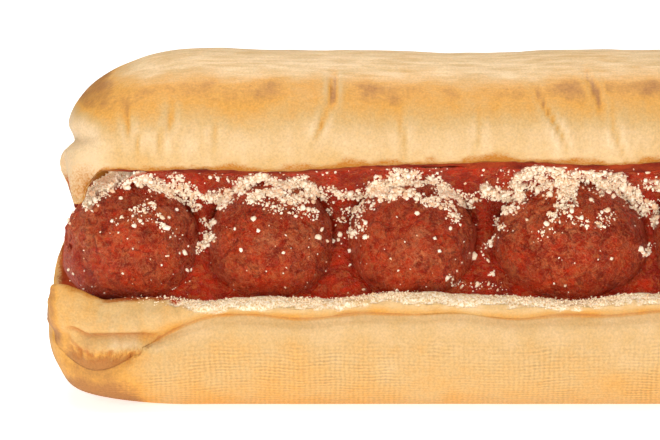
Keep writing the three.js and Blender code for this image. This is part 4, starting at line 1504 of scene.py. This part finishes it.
def colour_property(name, description, red, green, blue):
    """A colour setting whose default is given in screen values."""
    return bpy.props.FloatVectorProperty(
        name=name,
        description=description,
        default=linear(red, green, blue),
        subtype="COLOR",
        size=4,
        min=0.0,
        max=1.0,
    )


def count_property(name, description, default, most):
    """A number of grains, held under what keeps a piece below 200000 triangles."""
    return bpy.props.IntProperty(name=name, description=description, default=default, min=100, max=most)


def length_property(name, description, default):
    """A length in metres."""
    return bpy.props.FloatProperty(name=name, description=description, default=default, unit="LENGTH")


def power_property(name, description, default):
    """The power of a light in watts."""
    return bpy.props.FloatProperty(name=name, description=description, default=default, min=0.0)


def group_property(name, kind):
    """A group of settings, described by its docstring."""
    return bpy.props.PointerProperty(name=name, description=kind.__doc__.rstrip("."), type=kind)


class SANDWICH_PG_bread(bpy.types.PropertyGroup):
    """Colours of the roll."""

    pale_crust: colour_property("Pale crust", "Crust that hardly browned", 224, 193, 150)
    golden_crust: colour_property("Golden crust", "Crust over most of the roll", 205, 167, 110)
    brown_crust: colour_property("Brown crust", "Crust that browned most", 212, 154, 72)
    # The sheen colour is a painted highlight on the crown's top
    sheen: colour_property("Sheen", "Dull bloom on the crown's top", 255, 226, 186)


class SANDWICH_PG_filling(bpy.types.PropertyGroup):
    """Colours of the meatballs and the sauce."""

    deep_sauce: colour_property("Deep sauce", "Sauce where it lies thick", 156, 30, 10)
    bright_sauce: colour_property("Bright sauce", "Sauce that light shines through", 208, 50, 14)
    oily_sauce: colour_property("Oily sauce", "Orange oil and pulp", 216, 104, 42)
    # The deep meat colour is painted shade in the cracks, and dark mince by noise
    deep_meat: colour_property("Deep meat", "Meat in the cracks", 138, 30, 10)
    meat: colour_property("Meat", "Cooked minced meat", 196, 62, 26)
    pale_meat: colour_property("Pale meat", "Fat and gristle in the meat", 228, 130, 80)


class SANDWICH_PG_cheese(bpy.types.PropertyGroup):
    """Colours and amounts of the grated cheese."""

    cheese: colour_property("Cheese", "Most of the grains", 240, 222, 194)
    dark_cheese: colour_property("Dark cheese", "Grains that soaked up sauce", 226, 176, 130)
    coarse_count: count_property("Coarse grains", "Number of grains near a millimetre", 8500, 9000)
    fine_count: count_property("Fine grains", "Number of smaller grains of each kind", 24000, 24500)
    coarse_size: length_property("Coarse size", "Typical radius of a coarse grain", 0.0004)
    medium_size: length_property("Medium size", "Typical radius of a grain between", 0.0003)
    fine_size: length_property("Fine size", "Typical radius of a fine grain", 0.00021)


class SANDWICH_PG_stage(bpy.types.PropertyGroup):
    """Camera and light."""

    elevation: bpy.props.FloatProperty(
        name="Elevation",
        description="How far above level the camera looks from",
        default=math.radians(VIEW_ELEVATION),
        subtype="ANGLE",
    )
    distance: length_property("Distance", "From the camera to the sandwich", VIEW_DISTANCE * MM)
    key_power: power_property("Key light", "Power of the light at the front left", 3.9)
    low_power: power_property("Low light", "Power of the low light in front", 3.3)
    top_power: power_property("Top light", "Power of the large light above", 4.9)
    floor: colour_property("Floor", "The pale floor", 250, 250, 250)


class SANDWICH_PG_settings(bpy.types.PropertyGroup):
    """All settings of the sandwich."""

    bread: group_property("Bread", SANDWICH_PG_bread)
    filling: group_property("Filling", SANDWICH_PG_filling)
    cheese: group_property("Cheese", SANDWICH_PG_cheese)
    stage: group_property("Stage", SANDWICH_PG_stage)


# Operators

# Each light's name, place in metres and size
LIGHTS = (
    ("key", (-0.55, -0.9, 0.42), 0.35),
    ("low", (0.1, -1.1, 0.07), 0.3),
    ("top", (-0.1, 0.1, 0.8), 0.7),
)

# Brightness of the white surroundings where they light the sandwich, and the share that mirrors lose
WORLD_LIGHT = 0.33
MIRROR_LOSS = 0.7
WHITE = (1, 1, 1, 1)
WARM_WHITE = (1, 0.94, 0.87, 1)

# Half the floor's width, the light that it gives, and its colour in what mirrors it
FLOOR_REACH = 2000
FLOOR_GLOW = 0.65
MIRRORED_FLOOR = (0.12, 0.08, 0.05, 1)


def add_camera(settings, target):
    """A long lens that looks down a little at the target, as where the photograph was taken from."""
    data = bpy.data.cameras.new("camera")
    data.lens = VIEW_LENS
    data.sensor_width = VIEW_SENSOR
    data.clip_start, data.clip_end = VIEW_RANGE
    away = Vector((0, -math.cos(settings.elevation), math.sin(settings.elevation)))
    camera = bpy.data.objects.new("camera", data)
    camera.location = target + away * settings.distance
    camera.rotation_euler = (-away).to_track_quat("-Z", "Y").to_euler()
    bpy.context.scene.collection.objects.link(camera)
    bpy.context.scene.camera = camera


def add_light(name, place, target, size, power):
    """A square area light at a place in metres that faces the target."""
    data = bpy.data.lights.new(name, "AREA")
    data.size = size
    data.energy = power
    light = bpy.data.objects.new(name, data)
    light.location = place
    light.rotation_euler = (Vector(place) - target).to_track_quat("Z", "Y").to_euler()
    bpy.context.scene.collection.objects.link(light)


def floor_plane():
    """A square of four metres at the height that the sandwich stands on."""
    corners = FLOOR_REACH * np.array([(-1, -1, 0), (1, -1, 0), (1, 1, 0), (-1, 1, 0)], dtype=float)
    return build("floor", corners, [np.array([[0, 1, 2, 3]])], smooth=False)


def floor_material(settings):
    """A dull pale floor that gives a little light, but hardly any to what mirrors it."""
    material, tree, shader = new_material("floor")
    mirrored = node(tree, "ShaderNodeLightPath").outputs["Is Glossy Ray"]
    inputs = {
        "Base Color": settings.floor,
        "Roughness": 0.9,
        "Emission Color": blend_colours(tree, mirrored, WHITE, MIRRORED_FLOOR),
        "Emission Strength": FLOOR_GLOW,
    }
    wire(tree, shader, inputs)
    return material


def white_world():
    """Surroundings that the camera sees as white, and that light the sandwich warmly and less."""
    world = bpy.data.worlds.new("studio")
    world.use_nodes = True
    tree = world.node_tree
    rays = node(tree, "ShaderNodeLightPath").outputs
    seen = rays["Is Camera Ray"]
    strength = plus(tree, times(tree, seen, 1.0 - WORLD_LIGHT), WORLD_LIGHT)
    dimmed = times(tree, rays["Is Glossy Ray"], WORLD_LIGHT * MIRROR_LOSS)
    inputs = {
        "Color": blend_colours(tree, seen, WARM_WHITE, WHITE),
        "Strength": math_of(tree, "SUBTRACT", strength, dimmed),
    }
    wire(tree, tree.nodes["Background"], inputs)
    return world


class SANDWICH_OT_stage(bpy.types.Operator):
    """Make the camera, the floor and the lights"""

    bl_idname = "sandwich.stage"
    bl_label = "Make the stage"

    def execute(self, context):
        settings = context.scene.sandwich.stage
        target = (Vector(VIEW_TARGET) + Vector(FRAME_SHIFT)) * MM
        add_camera(settings, target)
        floor = floor_plane()
        floor.data.materials.append(floor_material(settings))
        powers = (settings.key_power, settings.low_power, settings.top_power)
        for (name, place, size), power in zip(LIGHTS, powers):
            add_light(name, place, target, size, power)
        context.scene.world = white_world()
        context.scene.view_settings.view_transform = "Standard"
        return {"FINISHED"}


class SANDWICH_OT_roll(bpy.types.Operator):
    """Make the hinged roll"""

    bl_idname = "sandwich.roll"
    bl_label = "Make the roll"

    def execute(self, context):
        piece = make_roll()
        piece.data.materials.append(bread_material(context.scene.sandwich.bread))
        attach(piece, "root")
        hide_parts("roll")
        return {"FINISHED"}


# Places, normals and cheese weights of the surfaces that the cheese may lie on
FILLING = []


class SANDWICH_OT_meatballs(bpy.types.Operator):
    """Make the meatballs"""

    bl_idname = "sandwich.meatballs"
    bl_label = "Make the meatballs"

    def execute(self, context):
        material = meat_material(context.scene.sandwich.filling)
        for k in range(len(BALL_WIDTHS)):
            piece, places, normals, weight = make_ball(k)
            piece.data.materials.append(material)
            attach(piece, "root")
            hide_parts(f"meatball_{k + 1}")
            FILLING.append((places.reshape(-1, 3), normals.reshape(-1, 3), weight.ravel()))
        return {"FINISHED"}


class SANDWICH_OT_sauce(bpy.types.Operator):
    """Make the tomato sauce"""

    bl_idname = "sandwich.sauce"
    bl_label = "Make the sauce"

    def execute(self, context):
        piece, places, normals, weight = make_sauce()
        piece.data.materials.append(sauce_material(context.scene.sandwich.filling))
        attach(piece, "root")
        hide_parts("sauce")
        places = places.reshape(-1, 3)
        free = outside_balls(places, 0.3)
        FILLING.append((places[free], normals.reshape(-1, 3)[free], weight.ravel()[free]))
        return {"FINISHED"}


class SANDWICH_OT_cheese(bpy.types.Operator):
    """Strew the grated cheese over the filling"""

    bl_idname = "sandwich.cheese"
    bl_label = "Strew the cheese"

    def execute(self, context):
        settings = context.scene.sandwich.cheese
        material = cheese_material(settings)
        rng = np.random.default_rng(CHEESE_SEED)
        places, normals, weights = (np.concatenate(parts) for parts in zip(*FILLING))
        kinds = (
            ("cheese_coarse", settings.coarse_count, settings.coarse_size, 0.3, GRAIN),
            ("cheese_medium", settings.fine_count, settings.medium_size, 0.2, CHIP),
            ("cheese_fine", settings.fine_count, settings.fine_size, 0.3, CHIP),
        )
        for name, count, size, spread, shape in kinds:
            spots, outward, weight = scatter(rng, places, normals, weights, count, spread)
            sizes = grain_sizes(rng, size / MM, count, 1.8)
            pile = ramp((weight - 0.45) / 0.5) * (0.4 + 0.6 * cloud(spots, 2.2, 2, 304)).clip(0, 1)
            lift = sizes * 0.3 + rng.uniform(size=count) * pile
            if shape is GRAIN:
                lump_spots, lump_outward, lump_sizes = lumps_of_cheese(places, normals)
                spots = np.concatenate([spots, lump_spots])
                outward = np.concatenate([outward, lump_outward])
                sizes = np.concatenate([sizes, lump_sizes])
                lift = np.concatenate([lift, 0.4 * lump_sizes])
            piece = make_grains(name, spots + outward * lift[:, None], sizes, shape, rng)
            piece.data.materials.append(material)
            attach(piece, "root")
        return {"FINISHED"}


class SANDWICH_OT_crumbs(bpy.types.Operator):
    """Scatter torn crumbs along the cut edge of the roll's lower half"""

    bl_idname = "sandwich.crumbs"
    bl_label = "Scatter the crumbs"

    def execute(self, context):
        rng = np.random.default_rng(CRUMB_SEED)
        x = rng.uniform(-CRUMB_REACH, CRUMB_REACH, size=CRUMB_COUNT)
        thick = ramp((cloud(np.stack([x, 0 * x, 0 * x], axis=-1), 5, 3, 401) + 0.5) / 0.7)
        thick = thick * (1 - 0.85 * ramp((np.abs(x) - 112) / 10))
        x = x[rng.uniform(size=CRUMB_COUNT) < 0.1 + 0.9 * thick]
        ring = np.abs(rng.normal(0, 0.7, size=len(x))) * 4 / (heel_lip_height(x) - crease_height(x) + 1)
        inward = rng.uniform(size=len(x)) < 0.35
        places = crust_places(x, ring, inward)
        places = places + rng.normal(size=places.shape) * (0.3, 0.2, 0.22)
        sizes = grain_sizes(rng, CRUMB_SIZE, len(x), 2.4)
        piece = make_grains("crumbs_torn", places, sizes, CHIP, rng)
        piece.data.materials.append(crumb_material())
        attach(piece, "root")
        return {"FINISHED"}


def crust_places(x, ring, inward):
    """Places beside the heel's lip: so many steps of the ring out on the crust or in on the cut face."""
    out = walk(crust_spans(), x[None, :], ring)[0]
    into = walk(face_spans(), x[None, :], ring)[0]
    section = np.where(inward[:, None], into, out)
    return np.concatenate([x[:, None], section], axis=1)


class SANDWICH_PT_panel(bpy.types.Panel):
    """Lists the steps that make the sandwich"""

    bl_idname = "SANDWICH_PT_panel"
    bl_label = "Meatball sandwich"
    bl_space_type = "VIEW_3D"
    bl_region_type = "UI"
    bl_category = "Sandwich"

    def draw(self, context):
        for operator in STEPS:
            self.layout.operator(operator.bl_idname)


STEPS = (
    SANDWICH_OT_stage,
    SANDWICH_OT_roll,
    SANDWICH_OT_meatballs,
    SANDWICH_OT_sauce,
    SANDWICH_OT_cheese,
    SANDWICH_OT_crumbs,
)
CLASSES = (
    SANDWICH_PG_bread,
    SANDWICH_PG_filling,
    SANDWICH_PG_cheese,
    SANDWICH_PG_stage,
    SANDWICH_PG_settings,
    *STEPS,
    SANDWICH_PT_panel,
)


def register():
    """Adds the classes and the scene's settings."""
    for cls in CLASSES:
        bpy.utils.register_class(cls)
    bpy.types.Scene.sandwich = bpy.props.PointerProperty(
        name="Sandwich", description="Settings of the meatball sandwich", type=SANDWICH_PG_settings
    )


def unregister():
    """Takes the classes and the settings away."""
    del bpy.types.Scene.sandwich
    for cls in reversed(CLASSES):
        bpy.utils.unregister_class(cls)


def main():
    """Registers the add-on and makes every piece."""
    register()
    bpy.ops.sandwich.stage()
    bpy.ops.sandwich.roll()
    bpy.ops.sandwich.meatballs()
    bpy.ops.sandwich.sauce()
    bpy.ops.sandwich.cheese()
    bpy.ops.sandwich.crumbs()


if __name__ == "__main__":
    main()
